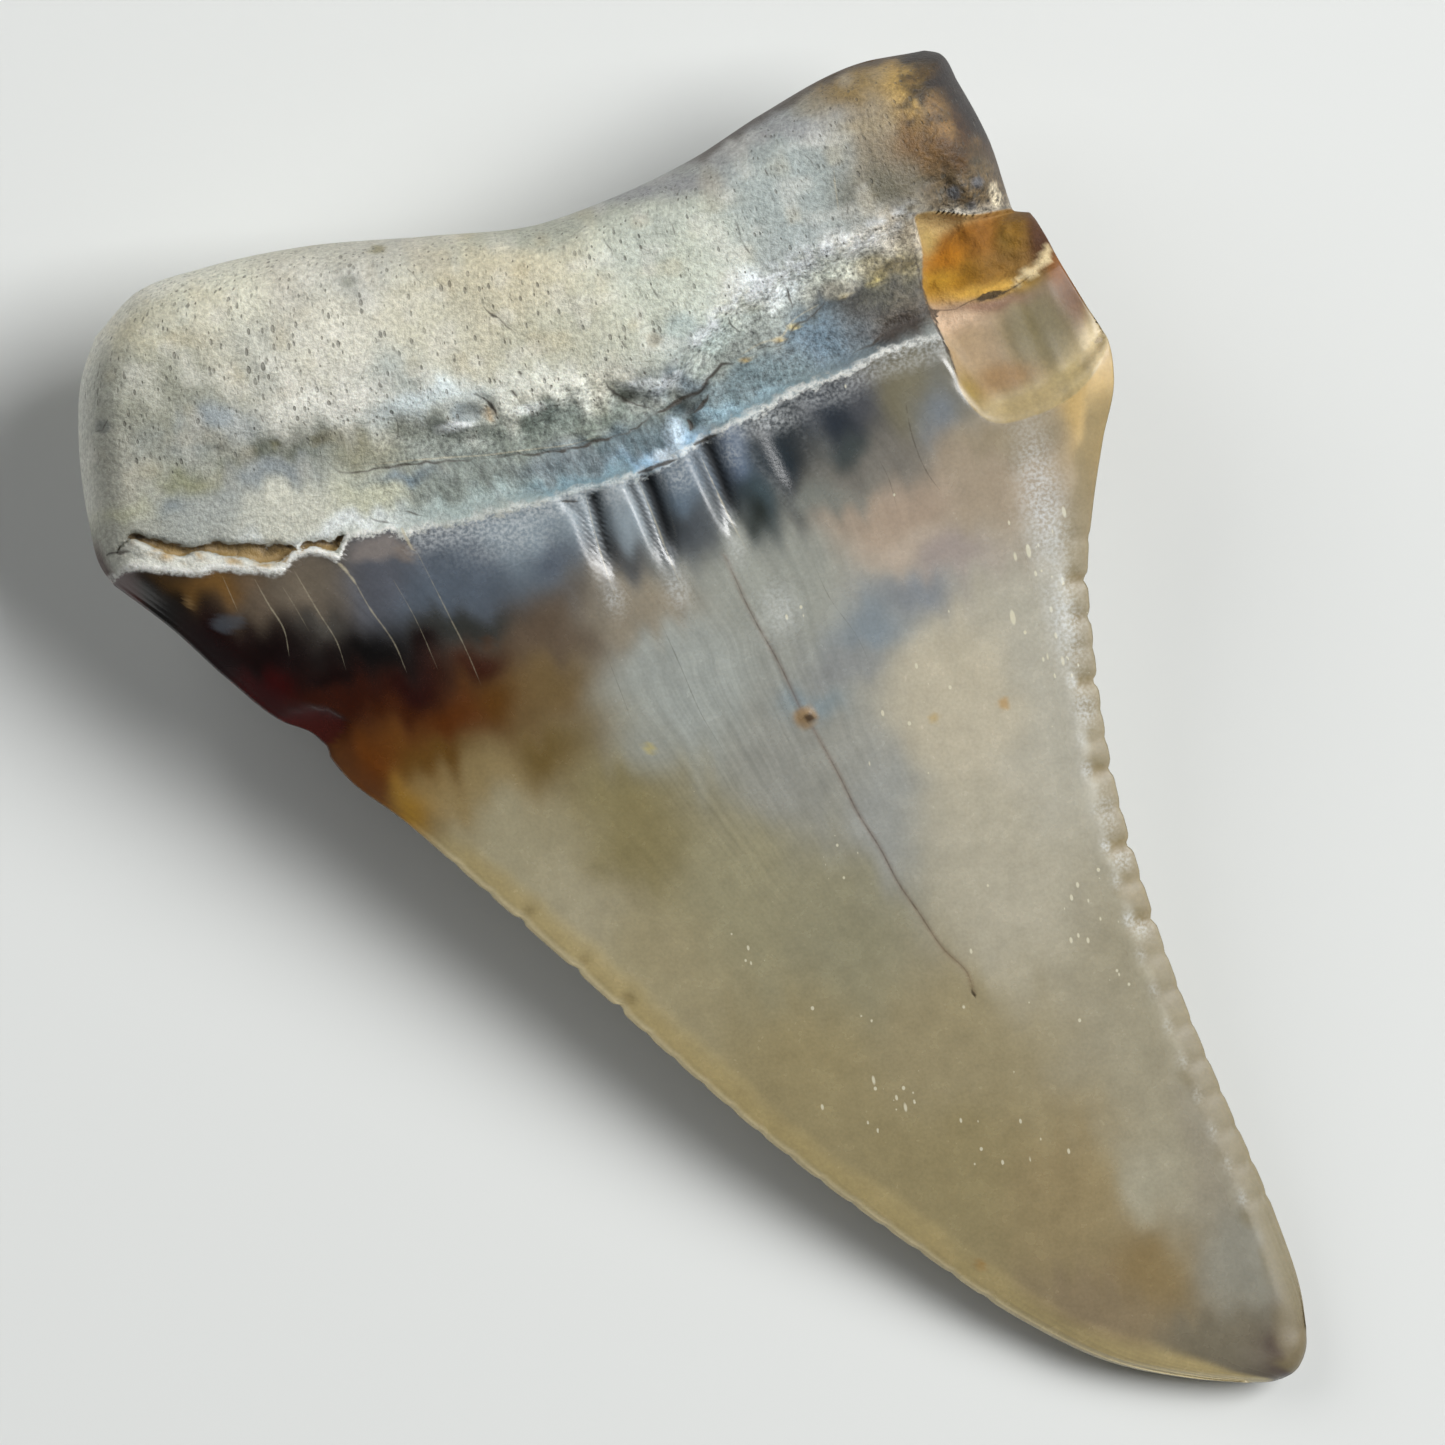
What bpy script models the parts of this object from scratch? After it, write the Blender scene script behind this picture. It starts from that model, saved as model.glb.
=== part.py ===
"""Fossil great white shark tooth, lying on its tongue side with its flat lip side up.

X runs along the base of the crown, +Y towards the root, -Y towards the tip, +Z up.
The origin is under the middle of the tooth's box. Shapes are worked out in millimetres.
"""

import bmesh
import bpy
import numpy as np

MM = 0.001
NAME = "tooth"
COLLECTION = "fossil_shark_tooth"

# Outline seen from above, in millimetres about the middle of its box.
ROOT_EDGE = [(-15.5, 18.3), (-13.9, 19.45), (-11.6, 19.8), (-8.5, 19.85), (-4.3, 19.4), (-0.8, 19.1),
             (1.0, 19.35), (4.4, 20.2), (6.9, 21.2), (10.0, 22.15), (12.4, 22.2)]
LEFT_LOBE = [(-15.5, 18.3), (-16.2, 17.1), (-16.7, 15.2), (-16.87, 12.5), (-16.7, 10.9), (-16.4, 10.3)]
LEFT_SHOULDER = [(-16.4, 10.3), (-14.9, 8.65), (-13.4, 6.65), (-11.9, 4.95), (-11.1, 4.45), (-10.7, 3.92)]
LEFT_EDGE = [(-10.68, 3.55), (-10.3, 2.85), (-8.8, 1.15), (-6.9, -1.3), (-4.3, -4.7), (-1.7, -8.2),
             (1.35, -12.05), (4.8, -15.8), (7.8, -18.8), (10.2, -20.6), (12.8, -21.7), (14.6, -22.2)]
RIGHT_LOBE = [(12.4, 22.2), (12.9, 22.0), (13.3, 21.0), (13.9, 19.1), (14.23, 16.6)]
RIGHT_EDGE = [(14.75, 16.45), (15.2, 15.0), (15.9, 13.1), (16.35, 11.9), (16.3, 10.6), (15.6, 8.8),
              (14.9, 6.8), (14.35, 4.8), (14.1, 2.5), (13.95, 0.0), (13.95, -2.0), (14.25, -5.5),
              (14.85, -9.5), (15.65, -13.2), (16.5, -17.0), (16.85, -19.8), (16.8, -20.8)]
TIP = [(14.6, -22.2), (15.5, -22.3), (16.2, -22.1), (16.65, -21.5), (16.8, -20.8)]
RIGHT_BASE_RUN = 1.5        # from the step in the right edge down to the crown's base

# Worn notches in the cutting edges, each its height on the tooth and its depth. Past the last deep one
# they go on at an even pitch, and are nearly worn away.
NOTCH_PITCH = 1.2
NOTCH_HALF_WIDTH = 0.17
RIGHT_NOTCHES = [(5.8, 0.05), (4.5, 0.15), (3.3, 0.11), (2.3, 0.05), (1.25, 0.16), (0.3, 0.05), (-0.6, 0.06),
                 (-1.6, 0.13), (-2.9, 0.06), (-4.1, 0.17), (-5.3, 0.07), (-6.6, 0.13)]
LEFT_NOTCHES = [(-0.6, 0.04), (-1.7, 0.06), (-2.8, 0.12), (-4.7, 0.11), (-6.2, 0.16), (-7.2, 0.06)]
FAINT_NOTCH_DEPTH = 0.05
RIGHT_NOTCHES += [(-6.6 - NOTCH_PITCH * k, FAINT_NOTCH_DEPTH) for k in range(1, 9)]
LEFT_NOTCHES += [(-7.2 - NOTCH_PITCH * 0.8 * k, FAINT_NOTCH_DEPTH) for k in range(1, 12)]

# Lines across the lip face, as heights along the width.
BASE_LINE = [(-17.0, 10.7), (-13.0, 10.25), (-9.0, 10.1), (-5.0, 10.55), (-1.0, 10.4), (1.7, 10.85),
             (5.7, 12.05), (10.7, 13.4), (15.3, 14.9), (17.0, 15.4)]
ROOT_LIP = [(-17.0, 14.4), (-11.2, 14.1), (-6.4, 13.9), (-4.2, 13.0), (-2.6, 13.1), (0.3, 13.4), (2.2, 13.1),
            (3.4, 14.1), (4.7, 15.0), (7.1, 15.9), (9.3, 16.4), (12.0, 17.0), (17.0, 18.0)]
NECK_DEPTH = [(-17.0, 0.05), (-11.0, 0.2), (-5.0, 0.45), (0.0, 0.5), (4.0, 0.8), (9.0, 0.85), (17.0, 0.7)]
TONGUE_BASE_LINE = [(-17.0, 10.2), (-12.0, 9.0), (-6.0, 8.0), (0.0, 7.4), (6.0, 8.2), (12.0, 10.9),
                    (17.0, 14.0)]

# The body in side view, as values along the height.
FACE_HEIGHT = [(-23.0, 1.55), (-20.0, 2.0), (-10.0, 4.1), (0.0, 6.15), (8.0, 7.7), (12.0, 8.3),
               (17.0, 8.7), (23.0, 8.9)]
THICKNESS = [(-23.0, 1.1), (-20.0, 1.9), (-10.0, 3.5), (0.0, 5.0), (6.0, 5.9), (8.0, 6.6),
             (11.5, 8.3), (15.0, 8.4), (19.0, 6.9), (23.0, 5.4)]
# How far the rim lies below the lip face, as values along the height above the base line.
RIM_BELOW_FACE = [(-38.0, 0.6), (-34.0, 0.5), (-28.0, 0.32), (-20.0, 0.27), (-10.0, 0.27), (-5.0, 0.28),
                  (-3.0, 0.33), (-1.6, 0.5), (-0.4, 1.1), (1.0, 2.2), (2.5, 3.1), (5.0, 3.5), (8.0, 3.4),
                  (13.0, 3.0)]
FACE_CROWN = 0.65           # how far the lip face falls from its middle to its edges
BROAD_HALF = 14.0           # half width from which the face falls by all of it
ROOT_BLEND = (-1.2, 1.6)    # reach of the change from crown to root, about the base line
TONGUE_BLEND = (-0.8, 3.0)
TIP_BLEND = (-18.5, -21.5)
THINNEST_HALF = 0.05
ROOT_SWELL = 0.34
LOBE_SWELL = 0.75           # the two swellings of the root that the tooth rests on
LOBE_CENTRES = [(-7.6, 12.6), (7.2, 13.2)]
LOBE_SPREAD = (4.6, 3.4)
FURROW_CENTRE = (0.0, 14.2)     # the hollow between the two lobes
FURROW_SPREAD = (1.3, 3.0)
FURROW_DEPTH = 0.5
EDGE_THICKNESS = 0.3
SLAB_EDGE_THINNING = 0.45
SLAB_EDGE_POWER = 2.6

# Small forms of the lip face.
LEDGE_HEIGHT = 0.14
LEDGE_HALF_WIDTH = 0.24
CREVICE = [(-16.6, 11.3), (-15.3, 11.45), (-14.6, 11.2), (-13.6, 10.9), (-12.2, 10.7), (-11.3, 10.4),
           (-10.4, 10.35), (-9.0, 10.38), (-8.0, 10.45)]
CREVICE_DEPTH = 0.45
CREVICE_HALF_WIDTH = 0.28
CREVICE_RIM_HEIGHT = 0.1
CREVICE_LEFT_FADE = (-16.9, -16.0)
CREVICE_RIGHT_FADE = (-9.4, -8.3)
# Each fold groove is start, end, half width, depth.
FOLD_GROOVES = [
    ((-1.60, 10.15), (-0.92, 7.0), 0.14, 0.26),
    ((-0.82, 10.3), (-0.55, 7.0), 0.16, 0.36),
    ((0.45, 10.45), (1.12, 7.0), 0.16, 0.34),
    ((0.98, 10.6), (1.47, 7.1), 0.20, 0.56),
    ((2.66, 11.0), (3.36, 7.6), 0.16, 0.30),
    ((3.10, 11.3), (3.64, 7.9), 0.20, 0.52),
    ((5.20, 11.6), (5.95, 8.2), 0.42, 0.20),
    ((6.80, 12.2), (7.22, 9.0), 0.50, 0.16),
]
# Low rolls between the folds: height by place along the base, and how far they lean.
FOLD_ROLLS = [(-4.0, 0.0), (-2.6, 0.06), (-1.8, 0.13), (-1.2, -0.05), (-0.75, -0.11), (-0.3, 0.03),
              (0.2, 0.13), (0.7, -0.05), (1.1, -0.13), (1.6, 0.04), (2.4, 0.14), (2.85, -0.05), (3.3, -0.13),
              (3.8, 0.04), (4.4, 0.14), (5.3, -0.13), (6.05, 0.13), (7.1, -0.1), (8.6, 0.05), (10.0, 0.0)]
FOLD_LEAN = 0.22
FOLD_LENGTH = 4.4

# The broken right shoulder: the left and lower wall of the spall.
SPALL_WALL = [(10.9, 17.6), (11.05, 15.8), (10.85, 14.7), (11.3, 12.2), (11.45, 11.0), (12.2, 10.0),
              (13.6, 9.95), (15.2, 10.5), (16.2, 11.5), (16.6, 12.6)]
SPALL_TOP = [(10.5, 16.9), (11.6, 16.95), (12.8, 16.65), (14.3, 16.65), (17.0, 16.4)]
SPALL_DEPTH = 0.75
SPALL_FOOT_SHARE = 0.6          # how deep the foot is, as a share of that
SPALL_WALL_RUN = 0.18
SPALL_BEVEL = 0.9
SPALL_FOOT = (12.6, 10.6)       # heights between which the steep wall turns into the bevel
SPALL_LEDGE = [(10.6, 13.85), (11.7, 13.8), (12.6, 13.95), (13.6, 14.1), (14.3, 14.4), (15.2, 15.0),
               (17.0, 15.9)]
SPALL_LEDGE_STEP = 0.22
SPALL_ROUGHNESS = 0.07
CORNER_BREAK_DEPTH = 0.4
CORNER_BREAK_TOP = 18.5
CHIP_CENTRE = (-11.15, 4.6)
CHIP_RADII = (1.1, 0.7)
CHIP_DEPTH = 0.4
# Each pit or pimple is centre, radii, depth, with a negative depth for a pimple.
PITS = [
    ((-4.0, 13.5), (0.6, 0.38), 0.34),
    ((-5.0, 13.35), (0.5, 0.2), -0.1),
    ((-3.1, 13.5), (0.2, 0.4), -0.1),
    ((2.12, 14.62), (0.24, 0.24), 0.12),
    ((2.8, 15.1), (0.12, 0.30), 0.14),
    ((4.7, 14.6), (0.14, 0.30), 0.14),
    ((6.6, 15.3), (0.16, 0.34), 0.12),
    ((-5.0, 18.0), (0.34, 0.14), 0.12),
    ((-6.0, 19.2), (0.26, 0.2), 0.08),
    ((2.15, 11.5), (0.26, 0.55), -0.3),
]
ROOT_RIPPLES = ((1.6, 0.02, 11), (5.0, 0.06, 12))       # grain size, height, seed
CROWN_RIPPLE = (6.0, 0.035, 15)
TONGUE_RIPPLE = (4.0, 0.05, 31)

ROOT_FACE_ROUND = 1.7       # reach of the rounding or the bevel inwards from the outline
ROOT_BACK_ROUND = 4.6
CROWN_FACE_BEVEL = 0.9
CROWN_BACK_BEVEL = 1.1
TIP_ROUND = 1.0

FLAT_CUT = 0.12             # depth of the worn flats that the tooth lies on
REST_SPOTS = [(-7.6, 12.6), (7.2, 13.2), (13.4, -19.2)]

ROOT_ROWS = 90
CROWN_ROWS = 170
COLUMNS = 190
MOST_TRIANGLES = 9700
MERGE_MM = 0.01

ROOT_COLOUR = (0.55, 0.51, 0.42, 1.0)
CROWN_ROUGHNESS = 0.34


def clear_scene():
    for obj in list(bpy.data.objects):
        bpy.data.objects.remove(obj, do_unlink=True)


def smooth(low, high, x):
    """0 below low, 1 above high, with a smooth S between."""
    t = np.clip((x - low) / (high - low), 0.0, 1.0)
    return t * t * (3.0 - 2.0 * t)


def hermite(at, places, values):
    """Smooth curve through values at places: a cubic between each two, slopes by central difference."""
    places = np.asarray(places, float)
    values = np.asarray(values, float)
    slopes = np.gradient(values, places, axis=0)
    k = np.clip(np.searchsorted(places, at, side="right") - 1, 0, len(places) - 2)
    step = places[k + 1] - places[k]
    w = (at - places[k]) / step
    if values.ndim == 2:
        step, w = step[..., None], w[..., None]
    rise = values[k + 1] - values[k]
    return (values[k] + rise * w * w * (3 - 2 * w)
            + step * slopes[k] * w * (1 - w) ** 2 - step * slopes[k + 1] * w * w * (1 - w))


def level(knots, x):
    """Value at x of the smooth line through knots, held level past its ends."""
    knots = np.array(knots)
    return hermite(np.clip(x, knots[0, 0], knots[-1, 0]), knots[:, 0], knots[:, 1])


def lengths(points):
    steps = np.linalg.norm(np.diff(points, axis=0), axis=1)
    return np.concatenate([[0.0], np.cumsum(steps)])


def curve(knots, spacing=0.02):
    """Points spaced evenly on the smooth curve through the knots."""
    knots = np.array(knots)
    run = lengths(knots)
    return hermite(np.linspace(0.0, run[-1], int(run[-1] / spacing) + 2), run, knots)


def walk(points, distances):
    """Points at these distances along a chain of points."""
    run = lengths(points)
    return np.stack([np.interp(distances, run, points[:, k]) for k in (0, 1)], axis=-1)


def notched(points, notches, inward):
    """The edge pulled inwards by a bell curve at each notch; where two meet, the deeper one counts."""
    along = lengths(points)
    tangent = np.gradient(points, along, axis=0)
    normal = np.stack([-tangent[:, 1], tangent[:, 0]], axis=1) * inward
    pull = np.zeros(len(points))
    for height, depth in notches:
        centre = along[np.argmin(np.abs(points[:, 1] - height))]
        pull = np.maximum(pull, depth * np.exp(-(((along - centre) / NOTCH_HALF_WIDTH) ** 2)))
    return points + normal * pull[:, None]


def sides():
    """The four sides of the outline: root edge, left, right and tip, each a function of 0 to 1."""
    left_root = curve(LEFT_LOBE)
    left = np.concatenate([left_root, curve(LEFT_SHOULDER), notched(curve(LEFT_EDGE), LEFT_NOTCHES, 1)])
    right_root = curve(RIGHT_LOBE)
    right = np.concatenate([right_root, notched(curve(RIGHT_EDGE), RIGHT_NOTCHES, -1)])
    left_base = lengths(left_root)[-1]
    right_base = lengths(right_root)[-1] + RIGHT_BASE_RUN
    return left, left_base, right, right_base, curve(ROOT_EDGE), curve(TIP)


def side_rows(points, base, t, base_t):
    """Points of one side for rows t: the root's rows end at the crown's base."""
    whole = lengths(points)[-1]
    distance = np.where(t < base_t, base * t / base_t, base + (whole - base) * (t - base_t) / (1 - base_t))
    return walk(points, distance)


def patch(s, t, near, far, left, right):
    """Coons patch: the blend of near and far, plus that of left and right, less that of the corners."""
    s, t = s[None, :, None], t[:, None, None]
    ends = (1 - t) * near[None] + t * far[None]
    cross = (1 - s) * left[:, None] + s * right[:, None]
    corners = (1 - t) * ((1 - s) * near[0] + s * near[-1]) + t * ((1 - s) * far[0] + s * far[-1])
    return ends + cross - corners


def plan(s, t, base_t):
    """Plan points for columns s and rows t: one patch for the root and one for the crown."""
    left, left_base, right, right_base, root_edge, tip = sides()
    left_rows = side_rows(left, left_base, t, base_t)
    right_rows = side_rows(right, right_base, t, base_t)
    base_row = int(np.argmin(np.abs(t - base_t)))
    ends = np.stack([left_rows[base_row], right_rows[base_row]])
    x = ends[0, 0] + s * (ends[1, 0] - ends[0, 0])
    bend = level(BASE_LINE, x)
    tilt = (1 - s) * (ends[0, 1] - bend[0]) + s * (ends[1, 1] - bend[-1])
    base = np.stack([x, bend + tilt], axis=1)
    top = walk(root_edge, s * lengths(root_edge)[-1])
    end = walk(tip, s * lengths(tip)[-1])
    root_t = t[: base_row + 1] / t[base_row]
    crown_t = (t[base_row:] - t[base_row]) / (1 - t[base_row])
    root = patch(s, root_t, top, base, left_rows[: base_row + 1], right_rows[: base_row + 1])
    crown = patch(s, crown_t, base, end, left_rows[base_row:], right_rows[base_row:])
    return np.concatenate([root, crown[1:]])


def nearest(points, border):
    rows = [np.sqrt(((row[:, None] - border[None]) ** 2).sum(axis=2).min(axis=1)) for row in points]
    return np.maximum(np.array(rows), 1e-9)


def edge_distance(points):
    """Distance to the outline, eased along the line where the right side and the rest are equally near."""
    rest = nearest(points, np.concatenate([points[0], points[-1], points[:, 0]]))
    right = nearest(points, points[:, -1])
    return (rest ** -4.0 + right ** -4.0) ** -0.25


def mound(x, y, centre, radii):
    """A soft round mound, 1 at its centre."""
    return np.exp(-((x - centre[0]) / radii[0]) ** 2 - ((y - centre[1]) / radii[1]) ** 2)


def groove(x, y, start, end, half_width, depth):
    """A straight furrow that fades out towards its end."""
    run = np.array(end) - np.array(start)
    length = np.hypot(*run)
    along = ((x - start[0]) * run[0] + (y - start[1]) * run[1]) / length
    across = ((x - start[0]) * run[1] - (y - start[1]) * run[0]) / length
    fade = smooth(-0.15, 0.1, along) * (1 - smooth(0.35 * length, 1.05 * length, along))
    return depth * fade * np.exp(-((across / half_width) ** 2))


def ripple(x, y, size, seed):
    """Uneven ground of about this grain size: a sum of sine waves in drawn directions, about -1 to 1."""
    draw = np.random.default_rng(seed)
    total = 0.0
    for _ in range(9):
        turn = draw.uniform(0, 2 * np.pi)
        wave = 2 * np.pi / (size * draw.uniform(0.7, 1.5))
        total = total + np.sin(wave * (x * np.cos(turn) + y * np.sin(turn)) + draw.uniform(0, 2 * np.pi))
    return total / 4.5


def wall_distance(x, y, wall):
    """Signed distance to the spall's wall: above zero on the broken side."""
    points = curve(wall, 0.05)
    shape = np.shape(x)
    flat = np.stack([np.ravel(x), np.ravel(y)], axis=1)
    gap = flat[:, None] - points[None]
    nearest = np.argmin((gap ** 2).sum(axis=2), axis=1)
    tangent = np.gradient(points, axis=0)[nearest]
    offset = flat - points[nearest]
    side = np.sign(tangent[:, 0] * offset[:, 1] - tangent[:, 1] * offset[:, 0])
    return (side * np.linalg.norm(offset, axis=1)).reshape(shape)


def spall(x, y):
    """Depth of the break at the right shoulder: a steep wall, a bevelled foot and a ledge across it."""
    inside = np.full(np.shape(x), -1.0)
    near = (x > 9.5) & (y > 8.5)
    inside[near] = wall_distance(x[near], y[near], SPALL_WALL)
    past_top = smooth(-0.05, 0.12, y - level(SPALL_TOP, x))
    foot = smooth(*SPALL_FOOT, y)
    width = SPALL_WALL_RUN + (SPALL_BEVEL - SPALL_WALL_RUN) * foot
    depth = SPALL_DEPTH * (1 - (1 - SPALL_FOOT_SHARE) * foot)
    depth = depth * smooth(0.0, 1.0, inside / width) * (1 - past_top)
    above = smooth(-0.12, 0.1, y - level(SPALL_LEDGE, x))
    rough = SPALL_ROUGHNESS * ripple(x, y, 0.9, 21) * above * (depth > 0.02)
    corner = smooth(11.2, 12.0, x) * past_top
    corner = corner * (1 - smooth(CORNER_BREAK_TOP - 0.9, CORNER_BREAK_TOP + 0.5, y))
    broken = CORNER_BREAK_DEPTH * corner * (1 + 0.25 * ripple(x, y, 0.7, 22))
    return depth * (1 - SPALL_LEDGE_STEP * above) + rough + broken


def neck_relief(x, y):
    """The hollow neck, the swell of the root's lip above it and the enamel's ledge below it."""
    above_base = y - level(BASE_LINE, x)
    v = above_base / (level(ROOT_LIP, x) - level(BASE_LINE, x))
    floor = 0.45 * smooth(-0.03, 0.12, v) + 0.55 * smooth(0.35, 0.8, v)
    height = -level(NECK_DEPTH, x) * floor * (1 - smooth(0.8, 1.12, v))
    height = height + ROOT_SWELL * smooth(0.9, 1.5, v) * (1 - 0.8 * smooth(1.5, 3.2, v))
    return height + LEDGE_HEIGHT * np.exp(-((above_base / LEDGE_HALF_WIDTH) ** 2)) * smooth(-7.5, -5.5, x)


def crevice_relief(x, y):
    """The gap where the root has lifted off the enamel, and the raised rim below it."""
    along = smooth(*CREVICE_LEFT_FADE, x) * (1 - smooth(*CREVICE_RIGHT_FADE, x))
    away = (y - level(CREVICE, x)) / CREVICE_HALF_WIDTH
    rim = CREVICE_RIM_HEIGHT * np.exp(-2.0 * (away + 1.6) ** 2)
    return along * (rim - CREVICE_DEPTH * np.exp(-(away ** 4)))


def fold_relief(x, y):
    """The rolls and the grooves between them, under the neck."""
    above_base = y - level(BASE_LINE, x)
    fade = smooth(-FOLD_LENGTH, -0.4 * FOLD_LENGTH, above_base) * (1 - smooth(-0.2, 0.1, above_base))
    height = level(FOLD_ROLLS, x + FOLD_LEAN * above_base) * fade
    for start, end, half_width, depth in FOLD_GROOVES:
        height = height - groove(x, y, start, end, half_width, depth)
    return height


def skin_relief(x, y):
    """Pits, the chip in the left edge and the uneven ground of root and crown."""
    height = np.zeros(np.shape(x))
    for centre, radii, depth in PITS:
        height = height - depth * mound(x, y, centre, radii)
    chip_x, chip_y = (x - CHIP_CENTRE[0]) / CHIP_RADII[0], (y - CHIP_CENTRE[1]) / CHIP_RADII[1]
    height = height - CHIP_DEPTH * np.sqrt(np.maximum(0.0, 1 - chip_x ** 2 - chip_y ** 2))
    v = (y - level(BASE_LINE, x)) / (level(ROOT_LIP, x) - level(BASE_LINE, x))
    root = smooth(0.3, 1.2, v)
    for size, rise, seed in ROOT_RIPPLES:
        height = height + root * rise * ripple(x, y, size, seed)
    size, rise, seed = CROWN_RIPPLE
    return height + (1 - root) * rise * ripple(x, 0.4 * y, size, seed)


def across(x, y):
    """Place across the tooth at this height: -1 at the left edge, 0 in the middle, 1 at the right edge."""
    left = np.array([(-16.5, 23.0), (-16.5, 11.0), (-14.9, 8.65), (-11.9, 4.95)] + LEFT_EDGE[2:])[::-1]
    right = np.array([(16.2, 23.0), (16.2, 11.0)] + RIGHT_EDGE[5:])[::-1]
    low = np.interp(y, left[:, 1], left[:, 0])
    high = np.interp(y, right[:, 1], right[:, 0])
    half = np.maximum(0.5 * (high - low), 0.4)
    return np.clip((x - 0.5 * (low + high)) / half, -1.0, 1.0), half


def rounded(inset, reach):
    """Quarter-circle rise from the rim, full at this reach."""
    return (1 - (1 - np.clip(inset / reach, 0, 1)) ** 2) ** 0.5


def bevelled(inset, reach):
    """Sharp-edged rise from the rim that eases off at this reach."""
    return 1 - (1 - np.clip(inset / reach, 0, 1)) ** 1.6


def blend(one, other, share):
    return one * share + other * (1 - share)


def heights(points):
    """Heights of the lip face and of the tongue face over the plan points."""
    x, y = points[..., 0], points[..., 1]
    q, half = across(x, y)
    inset = edge_distance(points)
    above_base = y - level(BASE_LINE, x)
    root = smooth(*ROOT_BLEND, above_base)
    fall = FACE_CROWN * np.minimum(half / BROAD_HALF, 1.0) * (1 - 0.5 * root)
    face = level(FACE_HEIGHT, y) - fall * q ** 2
    broken = spall(x, y)
    rim = face - level(RIM_BELOW_FACE, above_base) - broken
    thick = level(THICKNESS, y)
    lens = thick * (1 - q ** 2) + EDGE_THICKNESS
    slab = thick * (1 - SLAB_EDGE_THINNING * np.abs(q) ** SLAB_EDGE_POWER)
    tongue_root = smooth(*TONGUE_BLEND, y - level(TONGUE_BASE_LINE, x))
    body = blend(slab, lens, tongue_root)
    for centre in LOBE_CENTRES:
        body = body + LOBE_SWELL * mound(x, y, centre, LOBE_SPREAD)
    body = body - FURROW_DEPTH * mound(x, y, FURROW_CENTRE, FURROW_SPREAD)
    size, rise, seed = TONGUE_RIPPLE
    back = face - body - rise * ripple(x, y, size, seed) * tongue_root
    back = np.minimum(back, rim - THINNEST_HALF)
    relief = neck_relief(x, y) + crevice_relief(x, y) + fold_relief(x, y) + skin_relief(x, y)
    top = face + relief - broken
    at_tip = smooth(*TIP_BLEND, y)
    up = blend(rounded(inset, ROOT_FACE_ROUND), bevelled(inset, CROWN_FACE_BEVEL), root)
    up = blend(rounded(inset, TIP_ROUND), up, at_tip)
    down = blend(rounded(inset, ROOT_BACK_ROUND), bevelled(inset, CROWN_BACK_BEVEL), root)
    down = blend(rounded(inset, TIP_ROUND), down, at_tip)
    return rim + (top - rim) * up, rim + (back - rim) * down


def set_down(points, front, back):
    """Tilt the tooth until its three lowest places are level, just below the ground."""
    x, y = points[..., 0], points[..., 1]
    for _ in range(6):
        lows = []
        for spot in REST_SPOTS:
            near = np.hypot(x - spot[0], y - spot[1]) < 3.2
            index = np.argmin(np.where(near, back, np.inf))
            lows.append((x.flat[index], y.flat[index], back.flat[index]))
        lows = np.array(lows)
        a, b, c = np.linalg.solve(np.column_stack([lows[:, :2], np.ones(3)]), lows[:, 2])
        lift = a * x + b * y + c + FLAT_CUT
        front, back = front - lift, back - lift
    return front, back


def spread(places, count):
    """Column places from 0 to 1, closer together near the two edges and over the folds."""
    fine = np.linspace(0.0, 1.0, 2001)
    crowd = 1 + 2.2 * np.exp(-(fine / 0.06) ** 2) + 2.2 * np.exp(-((1 - fine) / 0.06) ** 2)
    crowd = crowd + 1.6 * np.exp(-((fine - places) / 0.1) ** 2)
    run = np.concatenate([[0.0], np.cumsum(0.5 * (crowd[1:] + crowd[:-1]))])
    return np.interp(np.linspace(0.0, run[-1], count + 1), run, fine)


def sheet(bm, columns, rows, place):
    """A grid of the tooth's rows and columns, each vertex moved to its place on one face."""
    made = bmesh.ops.create_grid(bm, x_segments=columns, y_segments=rows, size=1.0)
    for vert in made["verts"]:
        column = int(round((vert.co.x + 1) * 0.5 * columns))
        row = int(round((vert.co.y + 1) * 0.5 * rows))
        vert.co = place[row, column]
    return made["verts"]


def body_mesh():
    """Two sheets that share the outline, joined along it into one closed body."""
    rows = ROOT_ROWS + CROWN_ROWS
    base_t = ROOT_ROWS / rows
    columns = spread(0.55, COLUMNS)
    points = plan(columns, np.linspace(0.0, 1.0, rows + 1), base_t)
    front, back = set_down(points, *heights(points))
    points = points - 0.5 * (points.min(axis=(0, 1)) + points.max(axis=(0, 1)))
    bm = bmesh.new()
    for height in (front, back):
        sheet(bm, COLUMNS, rows, np.concatenate([points, height[..., None]], axis=2) * MM)
    bmesh.ops.remove_doubles(bm, verts=bm.verts, dist=0.0005 * MM)
    bmesh.ops.triangulate(bm, faces=bm.faces)
    bmesh.ops.recalc_face_normals(bm, faces=bm.faces)
    mesh = bpy.data.meshes.new(NAME)
    bm.to_mesh(mesh)
    bm.free()
    return mesh


def thinned(mesh, most):
    """The same body with fewer triangles: the flat stretches lose the most."""
    helper = bpy.data.objects.new("helper", mesh)
    bpy.context.scene.collection.objects.link(helper)
    helper.modifiers.new("fewer_triangles", "DECIMATE").ratio = most / len(mesh.polygons)
    graph = bpy.context.evaluated_depsgraph_get()
    result = bpy.data.meshes.new_from_object(helper.evaluated_get(graph))
    bpy.data.objects.remove(helper, do_unlink=True)
    return result


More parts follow.
